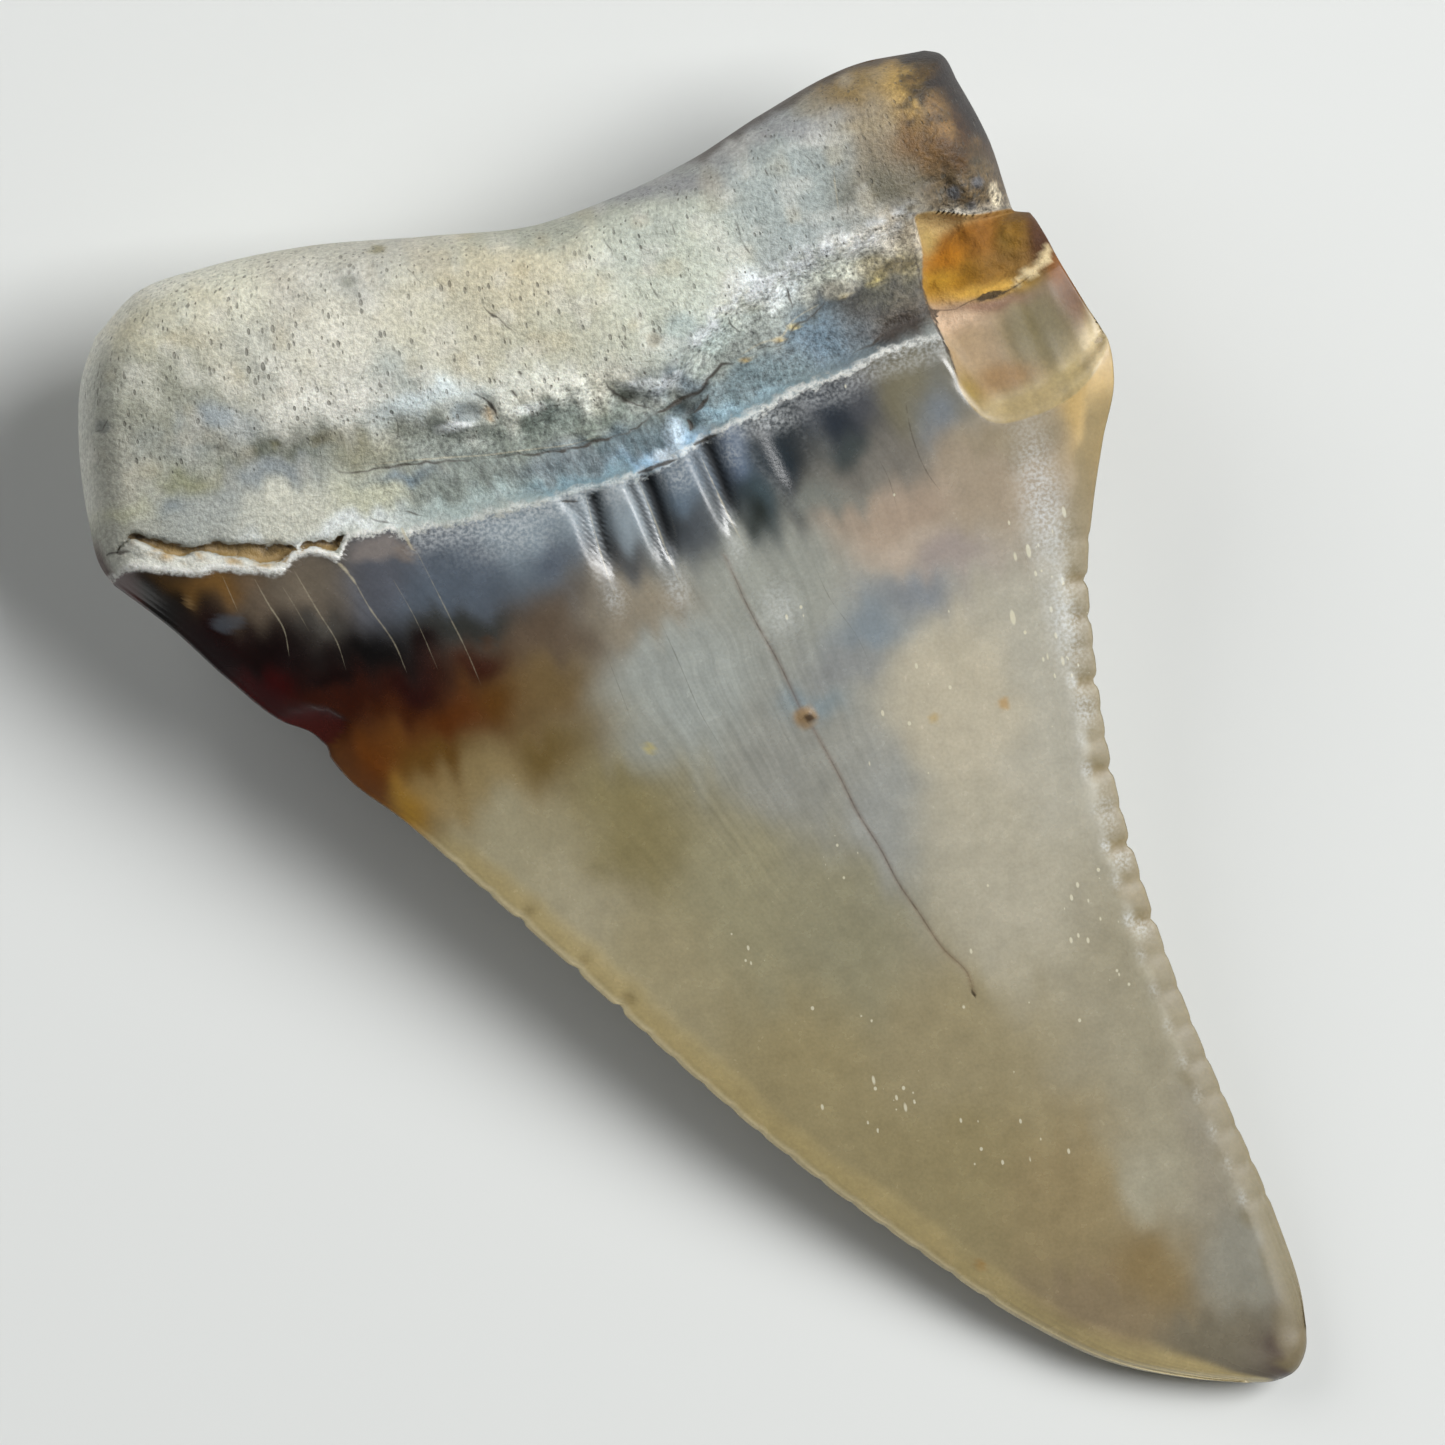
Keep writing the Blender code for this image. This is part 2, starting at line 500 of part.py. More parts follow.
def wear_flats(mesh):
    """Cuts off what is below the ground and closes each cut with a flat face."""
    bm = bmesh.new()
    bm.from_mesh(mesh)
    everything = bm.verts[:] + bm.edges[:] + bm.faces[:]
    bmesh.ops.bisect_plane(bm, geom=everything, plane_co=(0, 0, 0), plane_no=(0, 0, 1), clear_inner=True)
    on_ground = [vert for vert in bm.verts if abs(vert.co.z) < MERGE_MM * MM]
    bmesh.ops.remove_doubles(bm, verts=on_ground, dist=MERGE_MM * MM)
    bmesh.ops.holes_fill(bm, edges=[edge for edge in bm.edges if edge.is_boundary])
    bmesh.ops.recalc_face_normals(bm, faces=bm.faces)
    bm.to_mesh(mesh)
    bm.free()
    return mesh


def fossil_material():
    material = bpy.data.materials.new("fossil_tooth")
    material.use_nodes = True
    shader = material.node_tree.nodes["Principled BSDF"]
    shader.inputs["Base Color"].default_value = ROOT_COLOUR
    shader.inputs["Roughness"].default_value = CROWN_ROUGHNESS
    shader.inputs["Metallic"].default_value = 0.0
    return material


def build():
    clear_scene()
    collection = bpy.data.collections.new(COLLECTION)
    bpy.context.scene.collection.children.link(collection)
    tooth = bpy.data.objects.new(NAME, wear_flats(thinned(body_mesh(), MOST_TRIANGLES)))
    collection.objects.link(tooth)
    tooth.data.materials.append(fossil_material())
    return tooth


build()
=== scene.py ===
# %% [markdown]
# # A fossil shark tooth
#
# The object is one tooth, turned to stone in a river bed. It has a grey, porous root with a worn lip,
# a glassy crown of enamel, and between them a narrow wrinkled neck. One shoulder of the crown is burnt
# nearly black by iron, the other has split off and left an amber scar. It lies on its rounded back.
#
# This lesson rebuilds it in two steps. First the shape: two sheets of points, one for each face, that
# share the tooth's outline. Then one material that knows where on the tooth it is, because the shape
# leaves measurements and colours, such as the distance to the edge, on every point.

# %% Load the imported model
import math

import bpy
import numpy as np
from mathutils import Matrix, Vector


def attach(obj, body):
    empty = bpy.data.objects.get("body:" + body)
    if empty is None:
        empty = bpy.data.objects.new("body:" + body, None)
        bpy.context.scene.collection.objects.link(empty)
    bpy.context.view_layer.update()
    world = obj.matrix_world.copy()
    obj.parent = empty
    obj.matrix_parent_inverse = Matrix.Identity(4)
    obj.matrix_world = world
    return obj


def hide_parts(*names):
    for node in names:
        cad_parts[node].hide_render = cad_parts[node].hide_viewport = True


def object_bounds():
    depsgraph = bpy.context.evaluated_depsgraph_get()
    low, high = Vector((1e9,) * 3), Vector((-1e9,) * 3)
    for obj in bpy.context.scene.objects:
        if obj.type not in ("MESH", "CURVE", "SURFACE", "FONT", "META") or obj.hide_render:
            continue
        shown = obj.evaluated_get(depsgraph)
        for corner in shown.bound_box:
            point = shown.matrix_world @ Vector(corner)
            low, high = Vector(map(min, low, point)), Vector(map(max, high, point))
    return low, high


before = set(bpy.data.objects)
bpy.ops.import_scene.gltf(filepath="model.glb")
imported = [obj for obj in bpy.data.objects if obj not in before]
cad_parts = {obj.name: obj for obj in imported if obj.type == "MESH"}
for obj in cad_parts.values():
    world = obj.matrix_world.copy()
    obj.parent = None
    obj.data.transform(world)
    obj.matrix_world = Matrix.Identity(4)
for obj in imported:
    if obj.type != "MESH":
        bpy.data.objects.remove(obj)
cad_box = [[float(v) for v in corner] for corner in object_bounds()]
print("box of the packed model, in metres:", cad_box)

# %% [markdown]
# ## Curves through a few points
#
# A worn tooth has no straight line on it, yet every line on it is simple. Each is drawn here by the
# few points that its shape needs, and a smooth cubic runs through them. A Blender curve object could
# do the same, but numbers in arrays can be measured, walked along and used in formulas.
# All sizes are millimetres: X runs along the base of the crown and Y points to the root.

# %% Smooth steps and lines
MM = 0.001


def smooth(low, high, x):
    """0 up to low, 1 from high on and a smooth S between. It falls where low is the larger one."""
    t = np.clip((x - low) / (high - low), 0.0, 1.0)
    return t * t * (3.0 - 2.0 * t)


def bell(away, half):
    """Bell curve, 1 where away is 0 and about a third at this half width."""
    return np.exp(-((away / half) ** 2))


def hermite(at, places, values):
    """Smooth curve through values at places: a cubic between each two, slopes by central difference."""
    places = np.asarray(places, float)
    values = np.asarray(values, float)
    slopes = np.gradient(values, places, axis=0)
    k = np.clip(np.searchsorted(places, at, side="right") - 1, 0, len(places) - 2)
    step = places[k + 1] - places[k]
    w = (at - places[k]) / step
    if values.ndim == 2:
        step, w = step[..., None], w[..., None]
    rise = values[k + 1] - values[k]
    return (values[k] + rise * w * w * (3 - 2 * w)
            + step * slopes[k] * w * (1 - w) ** 2 - step * slopes[k + 1] * w * w * (1 - w))


def level(knots, x):
    """Value at x of the smooth line through knots, held level past its ends."""
    knots = np.array(knots)
    return hermite(np.clip(x, knots[0, 0], knots[-1, 0]), knots[:, 0], knots[:, 1])


def lengths(points):
    """Running length along a chain of points."""
    return np.concatenate([[0.0], np.cumsum(np.linalg.norm(np.diff(points, axis=0), axis=1))])


def curve(knots, spacing=0.02):
    """Points spaced evenly on the smooth curve through the knots."""
    knots = np.array(knots)
    run = lengths(knots)
    return hermite(np.linspace(0.0, run[-1], int(run[-1] / spacing) + 2), run, knots)


def walk(points, distances):
    """Points at these distances along a chain of points."""
    run = lengths(points)
    return np.stack([np.interp(distances, run, points[:, k]) for k in (0, 1)], axis=-1)


# %% [markdown]
# ## The outline and its worn teeth
#
# The cutting edges of this tooth were serrated like a bread knife. Time has ground the serrations down
# to shallow notches, about 1.2 mm apart, with a small scoop on the face beside each one. The notches
# are pulls on the outline: a bell curve pushes the edge inwards at each place in a list.

# %% Outline
ROOT_EDGE = [(-15.5, 18.3), (-13.9, 19.45), (-11.6, 19.8), (-8.5, 19.85), (-4.3, 19.4), (-0.8, 19.1),
             (1.0, 19.35), (4.4, 20.2), (6.9, 21.2), (10.0, 22.15), (12.4, 22.2)]
LEFT_LOBE = [(-15.5, 18.3), (-16.2, 17.1), (-16.7, 15.2), (-16.87, 12.5), (-16.7, 10.9), (-16.4, 10.3)]
LEFT_SHOULDER = [(-16.4, 10.3), (-14.9, 8.65), (-13.4, 6.65), (-11.9, 4.95), (-11.1, 4.45),
                 (-10.7, 3.92)]
LEFT_EDGE = [(-10.68, 3.55), (-10.3, 2.85), (-8.8, 1.15), (-6.9, -1.3), (-4.3, -4.7), (-1.7, -8.2),
             (1.35, -12.05), (4.8, -15.8), (7.8, -18.8), (10.2, -20.6), (12.8, -21.7), (14.6, -22.2)]
RIGHT_LOBE = [(12.4, 22.2), (12.9, 22.0), (13.3, 21.0), (13.9, 19.1), (14.23, 16.6)]
RIGHT_EDGE = [(14.75, 16.45), (15.2, 15.0), (15.9, 13.1), (16.35, 11.9), (16.3, 10.6), (15.6, 8.8),
              (14.9, 6.8), (14.35, 4.8), (14.1, 2.5), (13.95, 0.0), (13.95, -2.0), (14.25, -5.5),
              (14.85, -9.5), (15.65, -13.2), (16.5, -17.0), (16.85, -19.8), (16.8, -20.8)]
TIP = [(14.6, -22.2), (15.5, -22.3), (16.2, -22.1), (16.65, -21.5), (16.8, -20.8)]
RIGHT_BASE_RUN = 1.5        # from the step in the right edge down to the crown's base

# Each notch is its height on the tooth and its depth.
NOTCH_PITCH = 1.2
NOTCH_HALF_WIDTH = 0.17
RIGHT_NOTCHES = [(5.8, 0.05), (4.5, 0.15), (3.3, 0.11), (2.3, 0.05), (1.25, 0.16), (0.3, 0.05),
                 (-0.6, 0.06), (-1.6, 0.13), (-2.9, 0.06), (-4.1, 0.17), (-5.3, 0.07), (-6.6, 0.13)]
LEFT_NOTCHES = [(-0.6, 0.04), (-1.7, 0.06), (-2.8, 0.12), (-4.7, 0.11), (-6.2, 0.16), (-7.2, 0.06)]
FAINT_NOTCH_DEPTH = 0.05
RIGHT_NOTCHES += [(-6.6 - NOTCH_PITCH * k, FAINT_NOTCH_DEPTH) for k in range(1, 9)]
LEFT_NOTCHES += [(-7.2 - NOTCH_PITCH * 0.8 * k, FAINT_NOTCH_DEPTH) for k in range(1, 12)]


def notch_places(points, notches):
    """Where each notch sits: its distance along the edge."""
    along = lengths(points)
    return np.array([along[np.argmin(np.abs(points[:, 1] - height))] for height, _ in notches])


def inward_normals(points, inward):
    """Normals along a chain of points: inward is 1 for the left hand and -1 for the right."""
    tangent = np.gradient(points, lengths(points), axis=0)
    return np.stack([-tangent[:, 1], tangent[:, 0]], axis=1) * inward


def notched(points, notches, inward):
    """The edge pulled inwards by a bell curve at each notch; where two meet, the deeper one counts."""
    along = lengths(points)
    pull = np.zeros(len(points))
    for centre, (_, depth) in zip(notch_places(points, notches), notches):
        pull = np.maximum(pull, depth * bell(along - centre, NOTCH_HALF_WIDTH))
    return points + inward_normals(points, inward) * pull[:, None]


def notch_scoops(points, notches, inward, reach):
    """The middle of the scoop beside each notch, this far in from the edge."""
    along = lengths(points)
    inner = points + inward_normals(points, inward) * reach
    centres = notch_places(points, notches)
    return [[np.interp(centre, along, inner[:, k]) for k in (0, 1)] for centre in centres]


SCOOP_INSET = 0.42
left_crown = curve(LEFT_EDGE)
right_crown = curve(RIGHT_EDGE)
left_root = curve(LEFT_LOBE)
right_root = curve(RIGHT_LOBE)
left_side = np.concatenate([left_root, curve(LEFT_SHOULDER), notched(left_crown, LEFT_NOTCHES, 1)])
right_side = np.concatenate([right_root, notched(right_crown, RIGHT_NOTCHES, -1)])
left_base_run = lengths(left_root)[-1]
right_base_run = lengths(right_root)[-1] + RIGHT_BASE_RUN
right_scoops = notch_scoops(right_crown, RIGHT_NOTCHES, -1, SCOOP_INSET)
left_scoops = notch_scoops(left_crown, LEFT_NOTCHES, 1, SCOOP_INSET)
print("cutting edges:", round(lengths(left_crown)[-1], 1), "and", round(lengths(right_crown)[-1], 1),
      "mm, with", len(left_scoops), "and", len(right_scoops), "notches")

# %% [markdown]
# ## A net of points inside the outline
#
# The outline has four sides, and a Coons patch fills such a frame: it blends the two long sides, adds
# the blend of the two short ones and takes away what was counted twice. Two patches meet on the line
# where the enamel starts, so a row of points lies exactly on that line. A remesh of the CAD solid
# would also give points, but they would know nothing of edges and rows.

# %% Plan of the points
ROOT_ROWS = 100
CROWN_ROWS = 252
COLUMNS = 216
BASE_LINE = [(-17.0, 10.7), (-13.0, 10.25), (-9.0, 10.1), (-5.0, 10.55), (-1.0, 10.4), (1.7, 10.85),
             (5.7, 12.05), (10.7, 13.4), (15.3, 14.9), (17.0, 15.4)]


def side_rows(points, base, t, base_t):
    """Points of one side for rows t: the root's rows end at the crown's base."""
    whole = lengths(points)[-1]
    distance = np.where(t < base_t, base * t / base_t, base + (whole - base) * (t - base_t) / (1 - base_t))
    return walk(points, distance)


def patch(s, t, near, far, left, right):
    """Coons patch: the blend of near and far, plus that of left and right, less that of the corners."""
    s, t = s[None, :, None], t[:, None, None]
    ends = (1 - t) * near[None] + t * far[None]
    cross = (1 - s) * left[:, None] + s * right[:, None]
    corners = (1 - t) * ((1 - s) * near[0] + s * near[-1]) + t * ((1 - s) * far[0] + s * far[-1])
    return ends + cross - corners


# Where the columns crowd: place across the tooth, half width and how many more there are.
CROWDED = [(0.0, 0.06, 2.0), (1.0, 0.06, 2.0), (0.55, 0.1, 1.5), (0.17, 0.12, 0.6)]


def spread(count):
    """Column places from 0 to 1, closer together at both edges, the folds and the left shoulder."""
    fine = np.linspace(0.0, 1.0, 2001)
    crowd = np.ones(fine.shape)
    for place, half, more in CROWDED:
        crowd = crowd + more * bell(fine - place, half)
    run = np.concatenate([[0.0], np.cumsum(0.5 * (crowd[1:] + crowd[:-1]))])
    return np.interp(np.linspace(0.0, run[-1], count + 1), run, fine)


def plan(s, t, base_t):
    """Plan points for columns s and rows t: one patch for the root and one for the crown."""
    left_rows = side_rows(left_side, left_base_run, t, base_t)
    right_rows = side_rows(right_side, right_base_run, t, base_t)
    base_row = int(np.argmin(np.abs(t - base_t)))
    ends = np.stack([left_rows[base_row], right_rows[base_row]])
    x = ends[0, 0] + s * (ends[1, 0] - ends[0, 0])
    bend = level(BASE_LINE, x)
    tilt = (1 - s) * (ends[0, 1] - bend[0]) + s * (ends[1, 1] - bend[-1])
    base = np.stack([x, bend + tilt], axis=1)
    root_edge, tip = curve(ROOT_EDGE), curve(TIP)
    top = walk(root_edge, s * lengths(root_edge)[-1])
    end = walk(tip, s * lengths(tip)[-1])
    root_t = t[: base_row + 1] / t[base_row]
    crown_t = (t[base_row:] - t[base_row]) / (1 - t[base_row])
    root = patch(s, root_t, top, base, left_rows[: base_row + 1], right_rows[: base_row + 1])
    crown = patch(s, crown_t, base, end, left_rows[base_row:], right_rows[base_row:])
    return np.concatenate([root, crown[1:]])


rows = ROOT_ROWS + CROWN_ROWS
column_places = spread(COLUMNS)
points = plan(column_places, np.linspace(0.0, 1.0, rows + 1), ROOT_ROWS / rows)
x, y = points[..., 0], points[..., 1]
column = np.broadcast_to(column_places, x.shape)
print("net of", x.shape, "points over", np.ptp(x).round(2), "by", np.ptp(y).round(2), "mm")

# %% [markdown]
# ## Measurements on every point
#
# Each form on the tooth depends on how far a point is from something: the edge, the base of the
# enamel, the wall of the scar, a crack. Those distances are worked out once, shape the surface, and
# are later handed to the material, so that colours end exactly where forms do.

# %% Distances
SPALL_WALL = [(10.9, 17.6), (11.05, 15.8), (10.85, 14.7), (11.3, 12.2), (11.45, 11.0), (12.2, 10.0),
              (13.6, 9.95), (15.2, 10.5), (16.2, 11.5), (16.6, 12.6)]
SPALL_TOP = [(10.5, 16.9), (11.6, 16.95), (12.8, 16.65), (14.3, 16.65), (17.0, 16.4)]
SPALL_LEDGE = [(10.6, 13.85), (11.7, 13.8), (12.6, 13.95), (13.6, 14.1), (14.3, 14.4), (15.2, 15.0),
               (17.0, 15.9)]
# The enamel's upper border on the lip side. On the left it is a ragged rim below the crevice.
ENAMEL_LINE = [(-17.0, 10.2), (-16.5, 10.4), (-16.0, 10.6), (-15.5, 10.6), (-15.0, 10.45), (-14.5, 10.3),
               (-14.0, 10.15), (-13.4, 10.05), (-13.15, 10.12), (-12.6, 10.0), (-12.1, 9.85),
               (-11.8, 9.78), (-11.5, 9.68), (-11.2, 9.6), (-10.9, 9.64), (-10.7, 9.85), (-10.4, 10.04),
               (-9.95, 10.05), (-9.55, 9.92), (-9.25, 9.72), (-9.08, 9.6), (-8.95, 9.95), (-8.8, 10.18),
               (-8.4, 10.24), (-7.8, 10.24), (-7.2, 10.2), (-6.9, 9.9), (-6.6, 10.05), (-6.2, 10.08),
               (-5.0, 10.05), (-4.2, 10.1), (-3.0, 10.15), (-1.0, 10.33), (0.5, 10.36), (1.4, 10.5),
               (2.0, 10.72), (2.7, 11.02), (3.4, 11.28), (4.6, 11.62), (5.2, 11.74), (5.7, 11.98),
               (6.3, 12.13), (6.9, 12.18), (8.1, 12.43), (9.2, 12.73), (10.0, 12.78), (10.7, 12.88),
               (12.0, 13.3), (17.0, 15.4)]


def nearest(places, border):
    """Distance from each place to the nearest point of a border, a row of places at a time."""
    found = [np.sqrt(((row[:, None] - border[None]) ** 2).sum(axis=2).min(axis=1)) for row in places]
    return np.maximum(np.array(found), 1e-9)


def edge_distance(places):
    """Distance to the outline, eased along the line where the right side and the rest are equally near."""
    rest = nearest(places, np.concatenate([places[0], places[-1], places[:, 0]]))
    right = nearest(places, places[:, -1])
    return (rest ** -4.0 + right ** -4.0) ** -0.25


def track(knots, reach):
    """Points near a smooth line: which they are, how far off its left hand, and how far along it, 0 to 1."""
    path = curve(knots, 0.05)
    low, high = path.min(axis=0) - reach, path.max(axis=0) + reach
    close = (x > low[0]) & (x < high[0]) & (y > low[1]) & (y < high[1])
    flat = np.stack([x[close], y[close]], axis=1)
    index = np.argmin(((flat[:, None] - path[None]) ** 2).sum(axis=2), axis=1)
    tangent = np.gradient(path, axis=0)
    tangent = tangent / np.linalg.norm(tangent, axis=1, keepdims=True)
    offset = flat - path[index]
    off = tangent[index, 0] * offset[:, 1] - tangent[index, 1] * offset[:, 0]
    return close, off, np.linalg.norm(offset, axis=1), index / (len(path) - 1)


inset = edge_distance(points)
above_base = y - level(BASE_LINE, x)
above_enamel = y - level(ENAMEL_LINE, x)
above_ledge = y - level(SPALL_LEDGE, x)
in_spall = np.full(x.shape, -2.0)
close, off, away, _ = track(SPALL_WALL, 6.0)
in_spall[close] = np.sign(off) * away
in_spall = np.minimum(in_spall, level(SPALL_TOP, x) - y)
print("widest inset:", inset.max().round(2), "mm; points in the scar:", int((in_spall > 0).sum()))

# %% [markdown]
# ## The body
#
# Seen from the side a tooth is a blade that swells into a root. The lip side, which shows, is nearly
# flat, and the tongue side is a full curve with two lobes at the root. Both are written as heights
# over the net: a profile along the height of the tooth, times a rounded section across it.

# %% Body heights
FACE_HEIGHT = [(-23.0, 1.55), (-20.0, 2.0), (-10.0, 4.1), (0.0, 6.15), (8.0, 7.7), (12.0, 8.3),
               (17.0, 8.7), (23.0, 8.9)]
THICKNESS = [(-23.0, 1.1), (-20.0, 1.9), (-10.0, 3.5), (0.0, 5.0), (6.0, 5.9), (8.0, 6.6),
             (11.5, 8.3), (15.0, 8.4), (19.0, 6.9), (23.0, 5.4)]
# How far the rim lies below the lip face, as values along the height above the base line.
RIM_BELOW_FACE = [(-38.0, 0.6), (-34.0, 0.5), (-28.0, 0.32), (-20.0, 0.27), (-10.0, 0.27), (-5.0, 0.28),
                  (-3.0, 0.33), (-1.6, 0.5), (-0.4, 1.1), (1.0, 2.2), (2.5, 3.1), (5.0, 3.5), (8.0, 3.4),
                  (13.0, 3.0)]
FACE_CROWN = 0.65           # how far the lip face falls from its middle to its edges
FULL_FALL_HALF = 14.0       # half width from which on it falls that far
LOBE_SWELL = 0.75
LOBE_CENTRES = [(-7.6, 12.6), (7.2, 13.2)]
LOBE_SPREAD = (4.6, 3.4)
TONGUE_BASE_LINE = [(-17.0, 10.2), (-12.0, 9.0), (-6.0, 8.0), (0.0, 7.4), (6.0, 8.2), (12.0, 10.9),
                    (17.0, 14.0)]
FURROW = ((0.0, 14.2), (1.3, 3.0), 0.5)
ROOT_FACE_ROUND = 1.7
ROOT_BACK_ROUND = 4.6
CROWN_FACE_BEVEL = 0.9
CROWN_BACK_BEVEL = 1.1
TIP_ROUND = 1.0


def across(px, py):
    """Place across the tooth at this height: -1 at the left edge, 0 in the middle, 1 at the right edge."""
    left = np.array([(-16.5, 23.0), (-16.5, 11.0), (-14.9, 8.65), (-11.9, 4.95)] + LEFT_EDGE[2:])[::-1]
    right = np.array([(16.2, 23.0), (16.2, 11.0)] + RIGHT_EDGE[5:])[::-1]
    low = np.interp(py, left[:, 1], left[:, 0])
    high = np.interp(py, right[:, 1], right[:, 0])
    half = np.maximum(0.5 * (high - low), 0.4)
    return np.clip((px - 0.5 * (low + high)) / half, -1.0, 1.0), half


def mound(px, py, centre, radii):
    """A soft round mound, 1 at its centre."""
    return np.exp(-((px - centre[0]) / radii[0]) ** 2 - ((py - centre[1]) / radii[1]) ** 2)


def spots(table):
    """Cover of soft spots, each centre, radii and strength; where two meet, the stronger one counts."""
    cover = np.zeros(x.shape)
    for centre, radii, strength in table:
        cover = np.maximum(cover, strength * mound(x, y, centre, radii))
    return cover


def bowls(pits):
    """How deep all pits together are, and how far each point lies inside one, 0 to 1."""
    depths = sum(depth * mound(x, y, centre, radii) for centre, radii, depth in pits)
    return depths, spots([(centre, radii, np.sign(depth)) for centre, radii, depth in pits])


def rounded(reach):
    """Quarter-circle rise from the rim, full at this reach."""
    return (1 - (1 - np.clip(inset / reach, 0, 1)) ** 2) ** 0.5


def bevelled(reach):
    """Sharp-edged rise from the rim that eases off at this reach."""
    return 1 - (1 - np.clip(inset / reach, 0, 1)) ** 1.6


def rise(root_round, crown_bevel):
    """From 0 at the rim to 1 inside: round on the root and the tip, a blade's bevel on the crown."""
    body = rounded(root_round) * root_share + bevelled(crown_bevel) * (1 - root_share)
    tip = smooth(-18.5, -21.5, y)
    return rounded(TIP_ROUND) * tip + body * (1 - tip)


q, half_width = across(x, y)
root_share = smooth(-1.2, 1.6, above_base)
fall = FACE_CROWN * q ** 2 * np.minimum(half_width / FULL_FALL_HALF, 1.0) * (1 - 0.5 * root_share)
face = level(FACE_HEIGHT, y) - fall
rim = face - level(RIM_BELOW_FACE, above_base)
thick = level(THICKNESS, y)
above_tongue_base = y - level(TONGUE_BASE_LINE, x)
tongue_root = smooth(-0.8, 3.0, above_tongue_base)
body = (thick * (1 - q ** 2) + 0.3) * (1 - tongue_root) + thick * (1 - 0.45 * np.abs(q) ** 2.6) * tongue_root
for lobe in LOBE_CENTRES:
    body += LOBE_SWELL * mound(x, y, lobe, LOBE_SPREAD)
body -= bowls([FURROW])[0]
print("body up to", body.max().round(2), "mm thick")

# %% [markdown]
# ## Uneven ground
#
# Nothing on a fossil is level. Two kinds of unevenness are mixed in: a sum of slow sine waves for
# swells, and value noise for grain, which is a table of random numbers read with smooth blending.
# Both are drawn from fixed seeds, so that the tooth comes out the same each time.

# %% Ripple and grain
TABLE_SIZE = 64
WAVES = 9


def ripple(px, py, size, seed):
    """Swells of about this size: a few sine waves in drawn directions, about -1 to 1."""
    draw = np.random.default_rng(seed)
    total = 0.0
    for _ in range(WAVES):
        turn = draw.uniform(0, 2 * np.pi)
        wave = 2 * np.pi / (size * draw.uniform(0.7, 1.5))
        total = total + np.sin(wave * (px * np.cos(turn) + py * np.sin(turn)) + draw.uniform(0, 2 * np.pi))
    return total / (0.5 * WAVES)


def grain(px, py, size, seed):
    """Value noise: random heights on a square net of this size, blended smoothly between them."""
    table = np.random.default_rng(seed).uniform(-1, 1, (TABLE_SIZE, TABLE_SIZE))
    u, v = px / size + 1000.0, py / size + 1000.0
    i, j = np.floor(u).astype(int), np.floor(v).astype(int)
    u, v = smooth(0, 1, u - i), smooth(0, 1, v - j)
    a, b = table[i % TABLE_SIZE, j % TABLE_SIZE], table[(i + 1) % TABLE_SIZE, j % TABLE_SIZE]
    c, d = table[i % TABLE_SIZE, (j + 1) % TABLE_SIZE], table[(i + 1) % TABLE_SIZE, (j + 1) % TABLE_SIZE]
    return (a * (1 - u) + b * u) * (1 - v) + (c * (1 - u) + d * u) * v


print("ripple stays within", np.abs(ripple(x, y, 4.0, 1)).max().round(2))

# %% [markdown]
# ## Root, lip and neck
#
# The root ends in a thick worn lip. Under it lies the neck, a hollow band of bare dentine with fine
# upright wrinkles. Below the neck the enamel starts with a low rough ledge. All of these follow three
# long lines across the tooth, so the relief is a function of the place between two of them: 0 at the
# enamel's base and 1 at the lip.

# %% Neck relief
ROOT_LIP = [(-17.0, 14.4), (-11.2, 14.1), (-6.4, 13.9), (-4.2, 13.0), (-2.6, 13.1), (0.3, 13.4), (2.2, 13.1),
            (3.4, 14.1), (4.7, 15.0), (7.1, 15.9), (9.3, 16.4), (12.0, 17.0), (17.0, 18.0)]
NECK_DEPTH = [(-17.0, 0.05), (-11.0, 0.2), (-5.0, 0.45), (0.0, 0.5), (4.0, 0.8), (9.0, 0.85), (17.0, 0.7)]
SUTURE = [(-9.0, 12.95), (-8.5, 12.45), (-7.6, 12.35), (-6.5, 12.25), (-5.0, 12.1), (-4.0, 11.95),
          (-2.4, 11.85), (-1.2, 11.75), (-0.3, 11.85), (0.9, 12.0), (1.5, 12.3), (2.2, 12.45)]
ROOT_SWELL = 0.34
LEDGE_HEIGHT = 0.12
LEDGE_HALF_WIDTH = 0.2
WRINKLE_DEPTH = 0.06

neck = above_base / (level(ROOT_LIP, x) - level(BASE_LINE, x))
hollow = 0.45 * smooth(-0.03, 0.12, neck) + 0.55 * smooth(0.35, 0.8, neck)
relief = -level(NECK_DEPTH, x) * hollow * smooth(1.12, 0.8, neck)
relief += ROOT_SWELL * smooth(0.9, 1.5, neck) * (1 - 0.8 * smooth(1.5, 3.2, neck))
ledge = bell(above_enamel - 0.08, LEDGE_HALF_WIDTH) * smooth(-7.5, -5.5, x)
relief += ledge * (LEDGE_HEIGHT + 0.06 * grain(x, y, 0.2, 42))
in_neck = smooth(0.04, 0.16, neck) * smooth(1.05, 0.75, neck) * smooth(-8.5, -6.0, x)
wrinkled = in_neck * smooth(0.12, -0.08, y - level(SUTURE, x)) * smooth(0.3, 0.6, above_enamel)
wrinkled = wrinkled * smooth(2.6, 1.4, x)
wrinkles = grain(x, 0.25 * y, 0.3, 43) + 0.6 * grain(x, 0.6 * y, 0.18, 44)
relief += WRINKLE_DEPTH * wrinkled * wrinkles
crumbly = in_neck * (1 - wrinkled) * smooth(0.3, 0.6, above_enamel)
relief += crumbly * (0.08 * grain(x, y, 0.5, 47) + 0.05 * grain(x, y, 0.22, 48))
lip_rough = bell(neck - 0.98, 0.2) * smooth(-6.0, -2.0, x)
relief += lip_rough * (0.12 * grain(x, y, 0.5, 45) + 0.09 * grain(x, y, 0.22, 46))
print("neck hollow down to", relief.min().round(2), "mm")
